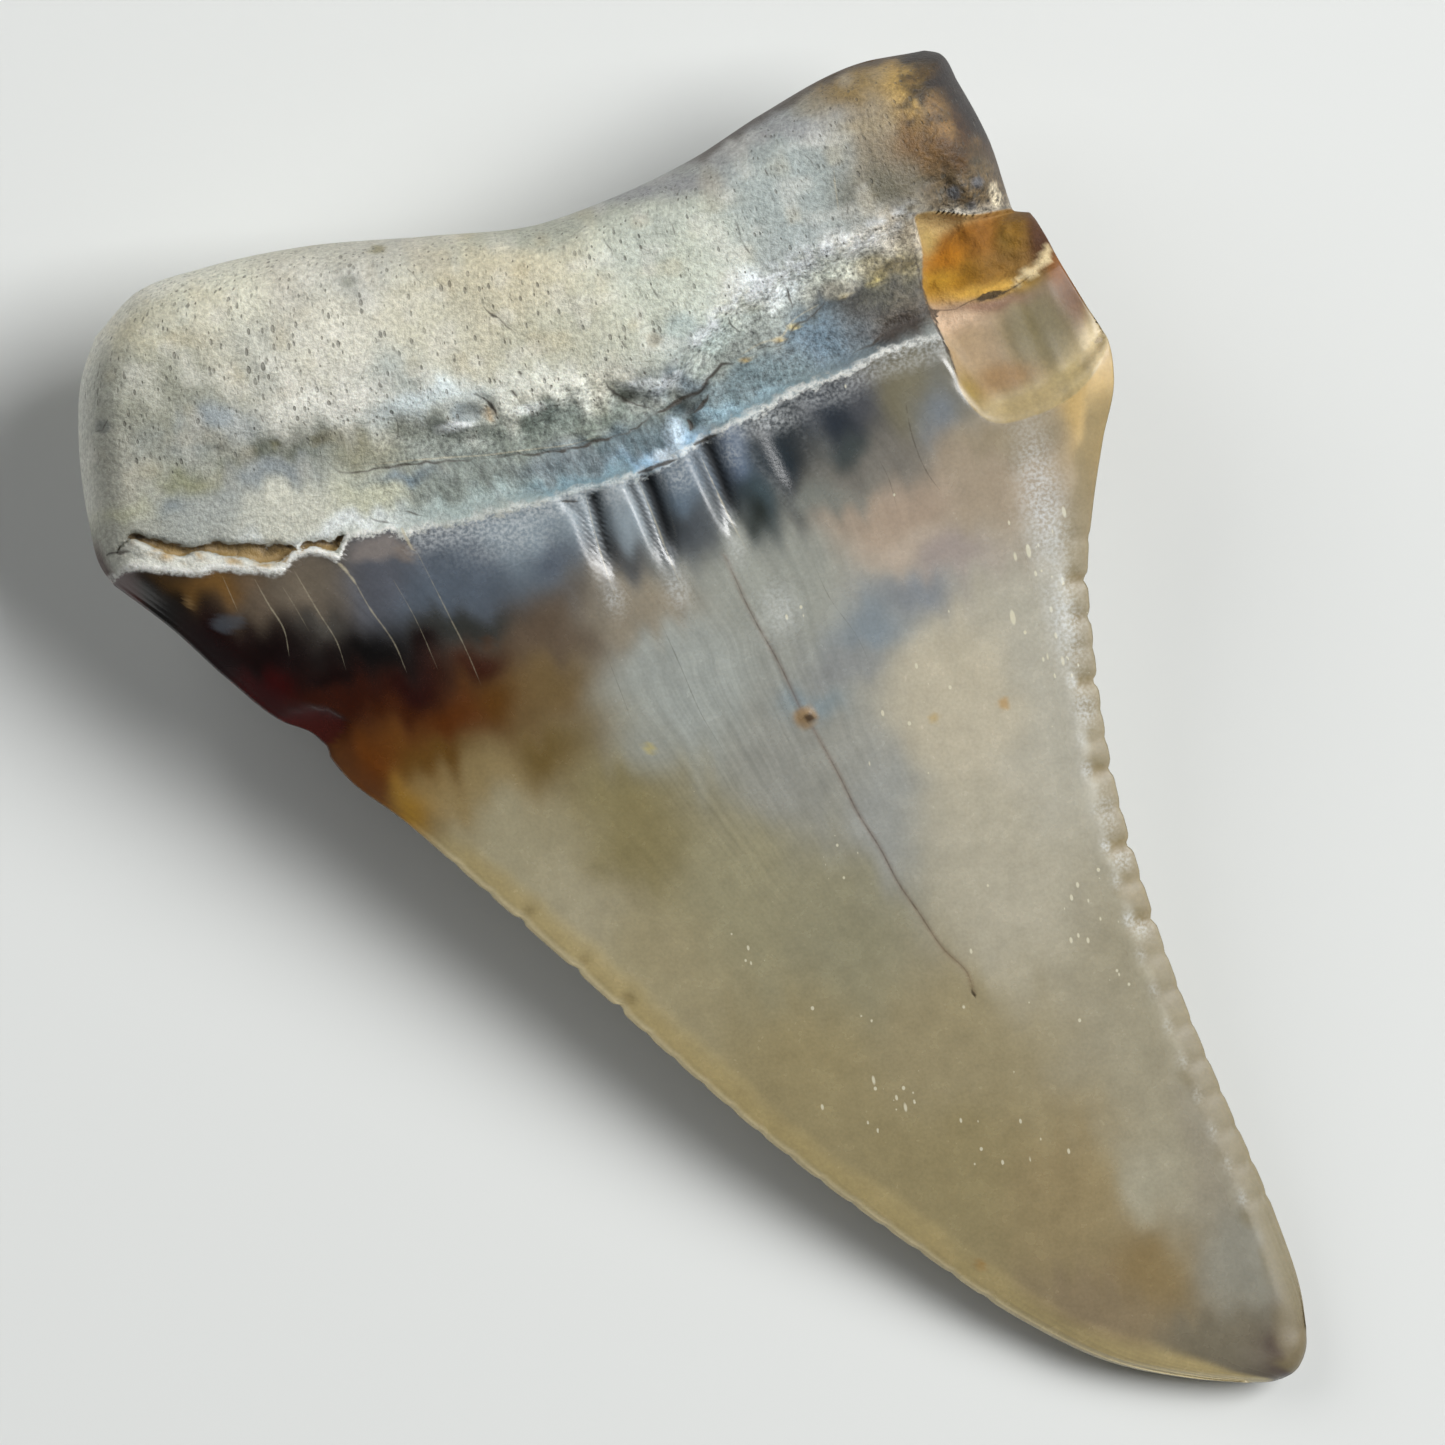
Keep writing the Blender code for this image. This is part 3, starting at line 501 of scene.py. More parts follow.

# %% [markdown]
# ## Crevice, folds, cuts and pits
#
# On the left a strip of root has lifted off the enamel and left a crevice with a ragged upper lip.
# Under the neck three pairs of sharp folds run down the enamel, as where cloth is pinched. These
# small forms are what one recognises the piece by, so each is placed one by one.

# %% Crevice
CREVICE_TOP = [(-16.6, 11.2), (-16.1, 11.32), (-15.9, 11.5), (-15.5, 11.74), (-15.2, 11.68),
               (-14.8, 11.45), (-14.5, 11.32), (-14.0, 11.2), (-13.75, 10.98), (-13.3, 10.97),
               (-12.8, 11.03), (-12.4, 10.82), (-11.9, 10.84), (-11.6, 10.68), (-11.3, 10.56),
               (-11.0, 10.62), (-10.6, 10.5), (-10.3, 10.44), (-10.0, 10.5), (-9.5, 10.47),
               (-9.1, 10.42), (-8.7, 10.49), (-8.3, 10.46), (-8.0, 10.55)]
CREVICE_FOOT = [(-16.6, 11.15), (-16.1, 11.22), (-15.9, 11.35), (-15.5, 11.58), (-15.0, 11.25),
                (-14.5, 10.97), (-14.0, 10.78), (-13.5, 10.78), (-13.0, 10.66), (-12.5, 10.46),
                (-12.0, 10.3), (-11.5, 10.02), (-11.2, 9.96), (-10.9, 10.0), (-10.6, 10.16),
                (-10.3, 10.21), (-9.9, 10.2), (-9.5, 10.07), (-9.2, 9.98), (-9.0, 10.1), (-8.8, 10.38),
                (-8.0, 10.5)]
CREVICE_DEPTH = 0.36

upper_gap = level(CREVICE_TOP, x) + 0.09 * grain(x, y, 0.28, 52) - y
lower_gap = y - level(CREVICE_FOOT, x) - 0.05 * grain(x, y, 0.3, 58)
along_crevice = smooth(-16.7, -16.0, x) * smooth(-8.0, -8.6, x)
crevice = np.minimum(upper_gap, lower_gap)
in_crevice = smooth(-0.05, 0.07, crevice) * along_crevice
relief -= in_crevice * (CREVICE_DEPTH + 0.12 * grain(x, y, 0.3, 53))
torn_rim = bell(above_enamel - 0.15, 0.15) * smooth(-6.5, -6.9, x) * smooth(0.1, 0.6, inset)
relief += torn_rim * (0.1 + 0.04 * grain(x, y, 0.35, 54))
crumbled = smooth(-0.03, 0.06, -lower_gap) * smooth(0.0, 0.1, above_enamel) * smooth(-9.0, -9.4, x)
relief += crumbled * 0.05 * grain(x, y, 0.22, 55)
print("crevice", round(float((upper_gap + lower_gap).max()), 2), "mm wide at most")

# %% Folds
# Each groove is its line from the enamel's base down, its half width and its depth.
FOLD_GROOVES = [
    ([(-1.72, 10.15), (-1.35, 9.8), (-1.2, 9.0), (-1.08, 8.2), (-0.92, 7.2)], 0.13, 0.2),
    ([(-0.84, 10.3), (-0.75, 9.6), (-0.7, 8.8), (-0.62, 8.0), (-0.55, 7.1)], 0.19, 0.38),
    ([(0.42, 10.45), (0.63, 9.7), (0.8, 8.8), (0.92, 8.0), (1.1, 7.1)], 0.15, 0.26),
    ([(0.95, 10.6), (1.12, 9.9), (1.22, 9.2), (1.32, 8.4), (1.46, 7.2)], 0.23, 0.56),
    ([(2.62, 11.0), (2.84, 10.2), (3.0, 9.5), (3.17, 8.7), (3.35, 7.7)], 0.15, 0.22),
    ([(3.05, 11.3), (3.22, 10.5), (3.36, 9.8), (3.47, 9.1), (3.62, 8.0)], 0.22, 0.52),
    ([(5.2, 11.6), (5.4, 10.4), (5.7, 9.2), (5.9, 8.2)], 0.42, 0.07),
    ([(6.8, 12.2), (6.95, 11.2), (7.1, 10.0), (7.2, 9.0)], 0.5, 0.05),
]
# Low rolls between the folds: height by place along the base, and how far they lean to the right.
FOLD_ROLLS = [(-4.0, 0.0), (-2.6, 0.06), (-1.8, 0.13), (-1.2, -0.05), (-0.75, -0.11), (-0.3, 0.03),
              (0.2, 0.13), (0.7, -0.05), (1.1, -0.13), (1.6, 0.04), (2.4, 0.14), (2.85, -0.05),
              (3.3, -0.13), (3.8, 0.04), (4.4, 0.05), (5.3, -0.03), (6.05, 0.02), (7.1, -0.02),
              (8.6, 0.0)]
FOLD_LEAN = 0.22
FOLD_DARKEST = 0.36         # a groove this deep is fully dark
DEEP_FOLD = 0.3             # and past this depth its right bank is in shade too

lean = x + FOLD_LEAN * above_base
relief += level(FOLD_ROLLS, lean) * smooth(-4.4, -1.8, above_base) * smooth(0.1, -0.2, above_enamel)
# Each groove leaves its dark stain with painted shade in it, and a deep one also painted shade on its right
# bank.
groove_stain_and_shade, fold_shade = np.zeros(x.shape), np.zeros(x.shape)
for knots, half, depth in FOLD_GROOVES:
    close, off, _, share = track(knots, 1.5)
    fade = smooth(0.0, 0.05, share) * smooth(1.0, 0.5, share)
    cut = fade * bell(off, half * (1.25 - 0.5 * share))
    relief[close] -= depth * cut
    groove_stain_and_shade[close] = np.maximum(groove_stain_and_shade[close], cut * min(1.0, depth / FOLD_DARKEST))
    if depth > DEEP_FOLD:
        bank = fade * bell(off - 0.25, 0.3) * (off > -0.1)
        fold_shade[close] = np.maximum(fold_shade[close], bank)
print(len(FOLD_GROOVES), "fold grooves")

# %% Cuts and cracks
# Each is its line, half width, depth and how dark it is drawn: 1 is black and wide, 0.1 a faint hair.
CUTS = [
    ([(3.0, 7.5), (3.5, 5.4), (4.0, 3.9), (4.45, 2.2)], 0.05, 0.01, 0.18),
    ([(4.72, 1.5), (5.3, -0.3), (5.6, -1.4), (6.1, -2.7), (6.5, -4.0), (6.9, -4.9), (7.5, -6.3),
      (8.1, -7.2),
      (8.2, -7.9)], 0.05, 0.01, 0.2),
    ([(8.12, -7.8), (8.17, -7.88), (8.2, -8.0)], 0.06, 0.02, 0.5),
    ([(-1.4, 5.5), (-1.1, 3.8), (-0.9, 2.6)], 0.04, 0.0, 0.13),
    ([(0.5, 6.1), (0.9, 4.4), (1.3, 2.6), (1.8, 1.2)], 0.04, 0.0, 0.15),
    ([(5.7, 6.9), (6.0, 5.6), (6.7, 4.0), (6.9, 3.2)], 0.04, 0.0, 0.13),
    ([(9.6, 11.3), (9.6, 10.1), (9.9, 8.7), (10.2, 8.1)], 0.04, 0.0, 0.24),
    ([(8.4, 9.6), (8.6, 8.9), (8.7, 7.8)], 0.04, 0.0, 0.15),
    (SUTURE[:6], 0.09, 0.06, 0.3),
    ([(10.88, 14.6), (11.0, 13.6), (11.3, 12.2), (11.4, 11.5)], 0.06, 0.0, 0.5),
    (SUTURE[5:], 0.09, 0.08, 0.42),
    ([(1.7, 12.4), (2.2, 12.45), (2.8, 12.65), (3.3, 12.8), (3.6, 13.1), (4.0, 13.4),
      (4.6, 13.45)], 0.07, 0.18, 0.7),
    ([(3.5, 12.7), (3.4, 12.45), (3.1, 12.25), (2.8, 12.1)], 0.07, 0.1, 0.5),
    ([(0.3, 13.7), (0.6, 13.15), (1.2, 12.75), (1.7, 12.5)], 0.2, 0.16, 0.4),
    ([(4.6, 13.45), (5.5, 13.75), (6.1, 13.75), (6.5, 14.2), (7.2, 14.4), (7.8, 14.8)], 0.08, 0.08, 0.36),
    ([(8.1, 12.95), (8.7, 13.12), (9.2, 13.35), (9.6, 13.75), (10.1, 13.72), (10.8, 13.9)], 0.1, 0.1, 0.45),
    # These three dark lines where the folds meet the enamel's ledge are painted shadow under it, in shallow
    # grooves.
    ([(0.65, 10.55), (1.3, 10.66), (2.1, 10.76)], 0.1, 0.1, 0.62),
    ([(-2.0, 10.2), (-1.6, 10.12), (-1.2, 10.05)], 0.08, 0.06, 0.45),
    ([(2.6, 11.08), (3.1, 11.22), (3.6, 11.3)], 0.1, 0.1, 0.6),
    ([(2.6, 12.0), (2.75, 11.75), (2.65, 11.55)], 0.1, 0.1, 0.6),
    ([(-3.95, 14.02), (-3.6, 13.85), (-3.38, 13.5), (-3.28, 13.15)], 0.12, 0.12, 0.42),
    ([(-8.0, 10.95), (-7.6, 10.65), (-7.1, 10.5)], 0.05, 0.03, 0.26),
    ([(-6.9, 10.85), (-6.6, 10.7), (-6.2, 10.48)], 0.05, 0.03, 0.24),
    ([(-16.5, 11.25), (-16.1, 11.3), (-15.6, 11.25)], 0.08, 0.08, 0.5),
    ([(-15.5, 11.7), (-15.2, 11.64), (-14.9, 11.42)], 0.08, 0.08, 0.6),
    ([(-9.5, 10.32), (-9.3, 10.28), (-9.1, 10.22)], 0.1, 0.1, 0.7),
    ([(5.34, 17.95), (5.45, 17.2), (5.78, 16.2)], 0.07, 0.04, 0.24),
    ([(3.39, 18.2), (3.44, 17.6)], 0.06, 0.04, 0.2),
    ([(1.2, 18.05), (1.3, 17.45)], 0.07, 0.05, 0.28),
    ([(2.1, 17.85), (2.25, 17.35)], 0.06, 0.04, 0.2),
    ([(2.34, 16.75), (2.43, 15.8)], 0.06, 0.04, 0.22),
    ([(-0.32, 16.45), (-0.3, 15.8)], 0.06, 0.03, 0.2),
    ([(-2.15, 17.05), (-2.1, 16.55)], 0.06, 0.03, 0.18),
    ([(2.95, 15.4), (2.75, 15.0), (2.7, 14.7)], 0.08, 0.06, 0.26),
    ([(3.2, 15.75), (3.35, 15.3)], 0.07, 0.05, 0.26),
    ([(4.5, 14.95), (4.65, 14.55), (4.8, 14.25)], 0.12, 0.08, 0.36),
    ([(6.5, 15.75), (6.6, 15.2), (6.65, 14.75)], 0.12, 0.08, 0.36),
    ([(7.25, 16.55), (7.36, 15.9)], 0.08, 0.05, 0.3),
    ([(8.93, 17.75), (8.88, 16.95)], 0.06, 0.03, 0.2),
    ([(7.9, 19.6), (8.15, 18.95)], 0.08, 0.04, 0.22),
    ([(6.6, 19.35), (6.7, 18.95)], 0.08, 0.04, 0.26),
    ([(8.75, 18.8), (9.0, 19.0), (9.05, 18.7)], 0.06, 0.03, 0.26),
    ([(1.1, 14.85), (1.2, 14.4)], 0.08, 0.06, 0.3),
    ([(-3.12, 16.95), (-2.7, 16.3), (-2.2, 15.55)], 0.07, 0.05, 0.28),
    ([(-5.25, 18.4), (-5.0, 18.1), (-4.7, 17.7)], 0.08, 0.06, 0.28),
    ([(-2.75, 13.95), (-2.55, 13.6)], 0.1, 0.08, 0.4),
    ([(-2.45, 14.5), (-2.3, 14.25)], 0.08, 0.06, 0.35),
    ([(-6.5, 13.85), (-6.45, 13.5), (-6.5, 13.15)], 0.14, 0.1, 0.34),
    ([(-15.95, 15.1), (-15.7, 15.25), (-15.45, 15.5)], 0.12, 0.05, 0.34),
    ([(-10.5, 16.05), (-10.5, 15.7)], 0.09, 0.05, 0.36),
    ([(-11.3, 16.6), (-11.25, 16.3)], 0.08, 0.05, 0.34),
    ([(-9.1, 15.95), (-9.1, 15.6)], 0.08, 0.05, 0.3),
    ([(-9.4, 14.35), (-9.3, 14.0)], 0.08, 0.05, 0.34),
    ([(-10.7, 14.75), (-10.65, 14.4)], 0.08, 0.05, 0.34),
    ([(-8.3, 14.6), (-8.15, 14.35)], 0.08, 0.05, 0.3),
    ([(10.92, 13.87), (11.7, 13.82), (12.6, 13.94), (13.6, 14.06), (14.3, 14.36)], 0.08, 0.06, 0.4),
    ([(12.3, 13.93), (12.9, 13.97), (13.5, 14.0)], 0.1, 0.1, 0.8),
    ([(10.9, 16.0), (10.8, 14.9), (11.05, 13.4), (11.2, 12.3)], 0.06, 0.04, 0.5),
]
# Pale hair cracks in the burnt shoulder, painted highlights on the thin crests between fold grooves, and a
# few pale scratches.
SHOULDER_CRACKS = [
    ([(-12.9, 10.0), (-12.75, 9.3), (-12.6, 8.6)], 0.14),
    ([(-11.95, 9.8), (-11.6, 8.7), (-11.3, 7.9), (-11.3, 6.9)], 0.2),
    ([(-11.1, 9.3), (-10.8, 8.5), (-10.5, 7.6)], 0.13),
    ([(-10.65, 9.8), (-10.1, 8.2), (-9.7, 7.1), (-9.6, 6.2)], 0.2),
    ([(-8.95, 9.6), (-8.5, 8.1), (-7.9, 6.7), (-7.7, 5.7)], 0.22),
    ([(-7.6, 8.9), (-7.1, 7.4), (-6.7, 5.6)], 0.14),
    ([(-6.75, 9.9), (-6.3, 8.3), (-6.0, 7.2), (-5.7, 6.1), (-5.45, 4.9)], 0.19),
]
PALE_LINES = SHOULDER_CRACKS + [
    ([(-6.98, 10.4), (-6.88, 10.0), (-6.75, 9.5)], 0.5),
    ([(-9.25, 9.75), (-9.05, 9.45), (-8.88, 9.15), (-8.72, 8.8)], 0.45),
    ([(-1.0, 10.35), (-0.96, 9.5), (-0.9, 8.5), (-0.78, 7.5), (-0.6, 6.4)], 0.2),
    ([(0.68, 10.55), (0.88, 9.7), (1.02, 9.0), (1.12, 8.4), (1.25, 7.7), (1.5, 6.6)], 0.24),
    ([(2.83, 10.8), (3.05, 9.9), (3.2, 9.3), (3.35, 8.7), (3.5, 8.2), (3.75, 7.4)], 0.24),
    ([(8.76, 18.9), (8.7, 18.3), (8.65, 17.5)], 0.3),
    ([(11.26, 12.4), (11.22, 11.8), (11.3, 11.0)], 0.18),
    ([(-8.4, 12.55), (-6.5, 12.38), (-5.0, 12.22), (-4.0, 12.08), (-2.4, 11.97), (-1.2, 11.88),
      (0.0, 12.0)], 0.26),
    ([(4.6, 13.6), (5.5, 13.9), (6.1, 13.95), (6.5, 14.35), (7.6, 14.8)], 0.3),
]
LINE_REACH = 0.17           # half width of a line drawn at strength 1
LINE_FADE = (0.13, 0.24)    # a line's strength falls to nothing between these distances from it


def line_field(lines):
    """For each point the signed distance to the nearest line, and that line's strength, 0 away from it."""
    gap, strength = np.full(x.shape, 9.0), np.zeros(x.shape)
    for knots, dark in lines:
        close, off, away, share = track(knots, 0.6)
        taper = np.sin(np.pi * share) ** 0.4
        here = dark * taper * smooth(LINE_FADE[1], LINE_FADE[0], away)
        better = here > strength[close]
        gap[close] = np.where(better, off, gap[close])
        strength[close] = np.where(better, here, strength[close])
    return gap, strength


for knots, half, depth, _ in CUTS:
    close, off, _, share = track(knots, 0.8)
    relief[close] -= depth * np.sin(np.pi * share) ** 0.5 * bell(off, half)
dark_gap, dark_strength = line_field([(knots, dark) for knots, _, _, dark in CUTS])
pale_gap, pale_strength = line_field(PALE_LINES)
on_dentine = smooth(0.1, 0.5, above_enamel)
dark_gap += on_dentine * (0.07 * grain(x, y, 0.32, 49) + 0.04 * grain(x, y, 0.15, 50))
dark_strength *= 1 + 0.5 * on_dentine * grain(x, y, 0.4, 51)
print(len(CUTS), "cuts and cracks,", len(PALE_LINES), "pale lines")

# %% Pits and lumps
# Each is centre, radii, depth, with a negative depth for a lump.
PITS = [
    ((-4.0, 13.5), (0.6, 0.38), 0.34),
    ((-5.0, 13.35), (0.5, 0.2), -0.1),
    ((-3.1, 13.5), (0.2, 0.4), -0.1),
    ((2.12, 14.62), (0.24, 0.24), 0.1),
    ((-7.1, 18.3), (0.3, 0.22), 0.1),
    ((-6.0, 19.2), (0.26, 0.2), 0.08),
    ((-12.2, 13.85), (0.14, 0.14), 0.12),
    ((-10.4, 13.7), (0.16, 0.14), 0.12),
    ((-9.1, 13.55), (0.2, 0.16), 0.1),
    ((2.15, 11.5), (0.26, 0.55), -0.3),
    ((0.9, 13.05), (0.45, 0.3), 0.14),
    ((2.75, 11.85), (0.16, 0.3), 0.2),
    ((4.58, 1.92), (0.3, 0.26), -0.09),
    ((9.8, 14.6), (1.3, 0.6), 0.2),
    ((11.5, 17.9), (0.3, 0.25), 0.15),
]
CHIP_CENTRE = (-11.15, 4.6)
CHIP_RADII = (1.1, 0.7)
CHIP_DEPTH = 0.22

pit_depth, pit_inside = bowls(PITS)
relief -= pit_depth
chip_x, chip_y = (x - CHIP_CENTRE[0]) / CHIP_RADII[0], (y - CHIP_CENTRE[1]) / CHIP_RADII[1]
chip_edge = 1 + 0.25 * grain(x, y, 0.5, 56)
chip = np.sqrt(np.maximum(0.0, 1 - (chip_x ** 2 + chip_y ** 2) * chip_edge))
relief -= CHIP_DEPTH * chip * (1 + 0.25 * grain(x, y, 0.4, 57))
print(len(PITS), "pits and lumps, and one chip in the left edge")

# %% Scoops of the worn serrations
SCOOP_RADIUS = 0.28
SCOOP_DEPTH = 0.11

scoops = []
for spot, (_, depth) in zip(right_scoops + left_scoops, RIGHT_NOTCHES + LEFT_NOTCHES):
    size = min(1.0, 7.0 * depth - 0.1) * smooth(-17.0, -5.0, spot[1])
    scoops.append((spot, (SCOOP_RADIUS, SCOOP_RADIUS), size))
scoop_cover = spots(scoops)
relief -= SCOOP_DEPTH * scoop_cover
print(len(scoops), "scoops")

# %% [markdown]
# ## The split shoulder
#
# A piece of the right shoulder has burst off. It left a steep wall on its left, a bevelled foot in the
# enamel and, half way up, a crusted ledge where the softer dentine starts. The break is a depth that
# depends on the signed distance to the wall, roughened above the ledge.

# %% Spall
SPALL_DEPTH = 0.75
SPALL_FOOT_SHARE = 0.6      # how deep the foot is, as a share of that
SPALL_BEVEL = 0.9
SPALL_WALL_RUN = 0.14
CORNER_BREAK_DEPTH = 0.4
CORNER_BREAK_TOP = 18.5

foot = smooth(12.6, 10.6, y)
wall_run = SPALL_WALL_RUN + (SPALL_BEVEL - SPALL_WALL_RUN) * foot
spall_depth = SPALL_DEPTH * (1 - (1 - SPALL_FOOT_SHARE) * foot) * smooth(0.0, 1.0, in_spall / wall_run)
spall_above = smooth(-0.12, 0.1, above_ledge)
spall_rough = 0.1 * grain(x, y, 0.7, 61) + 0.06 * grain(x, y, 0.3, 62)
crust_here = smooth(13.5, 14.2, x) * smooth(15.2, 14.9, x)
crust_mm = np.abs(above_ledge - 0.08 - 0.2 * grain(x, y, 0.32, 63)) - 0.18 * crust_here
crust = smooth(0.1, -0.05, crust_mm) * smooth(0.05, 0.2, crust_here)
striae = grain(x + 0.2 * y, 0.06 * y, 0.22, 66) * (1 - spall_above)
spall_depth = spall_depth * (1 - 0.22 * spall_above) + 0.015 * striae
spall_depth = spall_depth + (in_spall > 0) * (spall_rough * spall_above - 0.16 * crust)
past_top = smooth(-0.05, 0.12, y - level(SPALL_TOP, x))
broken = smooth(11.2, 12.0, x) * past_top * smooth(CORNER_BREAK_TOP + 0.5, CORNER_BREAK_TOP - 0.9, y)
corner_rough = 0.35 * grain(x, y, 0.55, 64) + 0.25 * grain(x, y, 0.25, 65)
split_off = spall_depth * (in_spall > 0) + CORNER_BREAK_DEPTH * broken * (1 + corner_rough)
relief -= split_off
slab = smooth(0.0, 0.5, in_spall) * smooth(17.2, 15.2, y)
rim = rim - split_off + 0.85 * slab * level(RIM_BELOW_FACE, above_base)
print("scar", spall_depth.max().round(2), "mm deep")

# %% [markdown]
# ## Skin of the two faces
#
# Last comes the finest relief that the net can carry: the pocked skin of the root, the low rolls of
# the enamel, and on the tongue side a belt of growth wrinkles above the enamel and a few small
# openings in the root where vessels went in.

# %% Skin
TONGUE_PITS = [((0.3, 12.2), (0.35, 0.28), 0.4), ((-1.6, 14.0), (0.22, 0.2), 0.22),
               ((2.2, 15.1), (0.2, 0.26), 0.2), ((-6.5, 10.9), (0.22, 0.18), 0.18),
               ((7.8, 11.9), (0.24, 0.2), 0.18)]

is_root = smooth(0.3, 1.2, neck)
relief += is_root * (0.02 * ripple(x, y, 1.6, 11) + 0.06 * ripple(x, y, 5.0, 12))
relief += is_root * 0.022 * (grain(x, 0.6 * y, 0.3, 13) + grain(x, y, 0.75, 14))
relief += (1 - is_root) * 0.035 * ripple(x, 0.4 * y, 6.0, 15)

tongue = -0.05 * ripple(x, y, 4.0, 31) * tongue_root
tongue -= 0.03 * grain(x, y, 0.6, 32) * tongue_root
belt = bell(above_tongue_base - 0.55, 0.5)
tongue += 0.12 * belt - 0.04 * belt * grain(x, 0.3 * y, 0.4, 33)
tongue_pit_depth, tongue_pit_stain = bowls(TONGUE_PITS)
tongue += tongue_pit_depth + SCOOP_DEPTH * 0.7 * scoop_cover

back = np.minimum(face - body + tongue, rim - 0.05)
front = rim + (face + relief - rim) * rise(ROOT_FACE_ROUND, CROWN_FACE_BEVEL)
back = rim + (back - rim) * rise(ROOT_BACK_ROUND, CROWN_BACK_BEVEL)
print("front from", front.min().round(2), "to", front.max().round(2), "mm")

# %% [markdown]
# ## Set it down
#
# A tooth rests on three places: the two lobes of the root and the back of the tip. The lowest point
# near each gives a plane, and the whole tooth is tilted until that plane is the ground. Years of
# handling have worn a small flat on each, so what would dip below the ground is level with it.

# %% Rest on three places
FLAT_CUT = 0.12
REST_SPOTS = LOBE_CENTRES + [(13.4, -19.2)]
SPOT_REACH = 3.2
TILT_ROUNDS = 6

for _ in range(TILT_ROUNDS):
    lows = []
    for spot in REST_SPOTS:
        close = np.hypot(x - spot[0], y - spot[1]) < SPOT_REACH
        index = np.argmin(np.where(close, back, np.inf))
        lows.append((x.flat[index], y.flat[index], back.flat[index]))
    lows = np.array(lows)
    a, b, c = np.linalg.solve(np.column_stack([lows[:, :2], np.ones(3)]), lows[:, 2])
    lift = a * x + b * y + c + FLAT_CUT
    front, back = front - lift, back - lift
back = np.maximum(back, 0.0)
middle = 0.5 * (points.min(axis=(0, 1)) + points.max(axis=(0, 1)))
packed_middle = 500.0 * np.array([cad_box[0][k] + cad_box[1][k] for k in (0, 1)])
shift = packed_middle - middle
print("tooth stands", front.max().round(2), "mm high; moved by", shift.round(3), "mm onto the packed one")

# %% [markdown]
# ## From sheets to one closed mesh
#
# The lip sheet takes every point of the net. The tongue sheet takes every second one, because it has
# less to show, and uses the lip sheet's own points along the outline. A face of the tongue sheet that
# lies on the outline therefore has an extra corner, where the lip sheet has a point between two.

# %% Faces of the two sheets
def sheet_faces(lip, tongue_ids):
    """Quads of the lip sheet, then quads, five-sided and six-sided faces of the coarser tongue sheet."""
    quads = np.stack([lip[:-1, :-1], lip[1:, :-1], lip[1:, 1:], lip[:-1, 1:]], axis=-1).reshape(-1, 4)
    ids = tongue_ids
    cells = np.stack([ids[:-1, :-1], ids[:-1, 1:], ids[1:, 1:], ids[1:, :-1]], axis=-1)
    inner = cells[1:-1, 1:-1].reshape(-1, 4)
    between_top, between_end = lip[0, 1::2], lip[-1, 1::2]
    between_left, between_right = lip[1::2, 0], lip[1::2, -1]
    edge_cells = [
        (cells[0, 1:-1], between_top[1:-1], 1), (cells[-1, 1:-1], between_end[1:-1], 3),
        (cells[1:-1, 0], between_left[1:-1], 4), (cells[1:-1, -1], between_right[1:-1], 2)]
    five = np.concatenate([np.insert(cell, corner, extra, axis=1) for cell, extra, corner in edge_cells])
    corner_cells = [
        (cells[0, 0], (1, between_top[0]), (5, between_left[0])),
        (cells[0, -1], (1, between_top[-1]), (3, between_right[0])),
        (cells[-1, -1], (2, between_right[-1]), (4, between_end[-1])),
        (cells[-1, 0], (3, between_end[0]), (5, between_left[-1]))]
    six = []
    for cell, first, second in corner_cells:
        six.append(np.insert(np.insert(cell, first[0], first[1]), second[0], second[1]))
    return quads, inner, five, np.array(six)


lip_ids = np.arange(x.size).reshape(x.shape)
inside = np.zeros(x.shape, bool)
inside[2:-2:2, 2:-2:2] = True
tongue_grid = lip_ids.copy()
tongue_grid[inside] = x.size + np.arange(inside.sum())
tongue_ids = tongue_grid[::2, ::2]
lip_points = np.stack([x + shift[0], y + shift[1], front], axis=-1).reshape(-1, 3)
tongue_points = np.stack([x + shift[0], y + shift[1], back], axis=-1)[inside]
lip_quads, tongue_quads, five_sided, six_sided = sheet_faces(lip_ids, tongue_ids)

faces = lip_quads.tolist() + tongue_quads.tolist() + five_sided.tolist() + six_sided.tolist()


def add_object(name, data):
    """Puts a mesh, a lamp or a camera into the scene."""
    added = bpy.data.objects.new(name, data)
    bpy.context.scene.collection.objects.link(added)
    return added


mesh = bpy.data.meshes.new("fossil_tooth")
mesh.from_pydata(np.concatenate([lip_points, tongue_points]) * MM, [], faces)
mesh.update()
mesh.shade_smooth()
tooth = add_object("fossil_tooth", mesh)
triangles = sum(len(face) - 2 for face in faces)
print(len(mesh.vertices), "points,", triangles, "triangles")

# %% [markdown]
# ## Stains
#
# Enamel and dentine are clear to milky minerals. Their colours came from the mud: iron gave amber,
# red-brown and black, manganese and clay gave grey and blue. Such stains have soft borders, so each
# is a soft oval of colour, named by what one sees, and where ovals overlap their colours are
# averaged by weight. Noise bends the coordinates first, so that no border is a clean curve. The
# colours are worked out once for every point and stored on the mesh, because a net of nodes for a
# hundred ovals would be slow to render and hard to read. Some ovals are not stains: beside the folds
# and under the root's lip they are painted shade, on the lip's crest painted highlights, as the
# comments beside them say.

# %% Colour
def linear(hex_colour):
    """sRGB hex to the linear red, green and blue that light is reckoned in."""
    parts = [int(hex_colour[k:k + 2], 16) / 255 for k in (0, 2, 4)]
    return tuple(p / 12.92 if p <= 0.04045 else ((p + 0.055) / 1.055) ** 2.4 for p in parts)


FALLOFF = 2.5
CORRECTIONS = 5
WANDER = 0.45               # millimetres that a border wanders


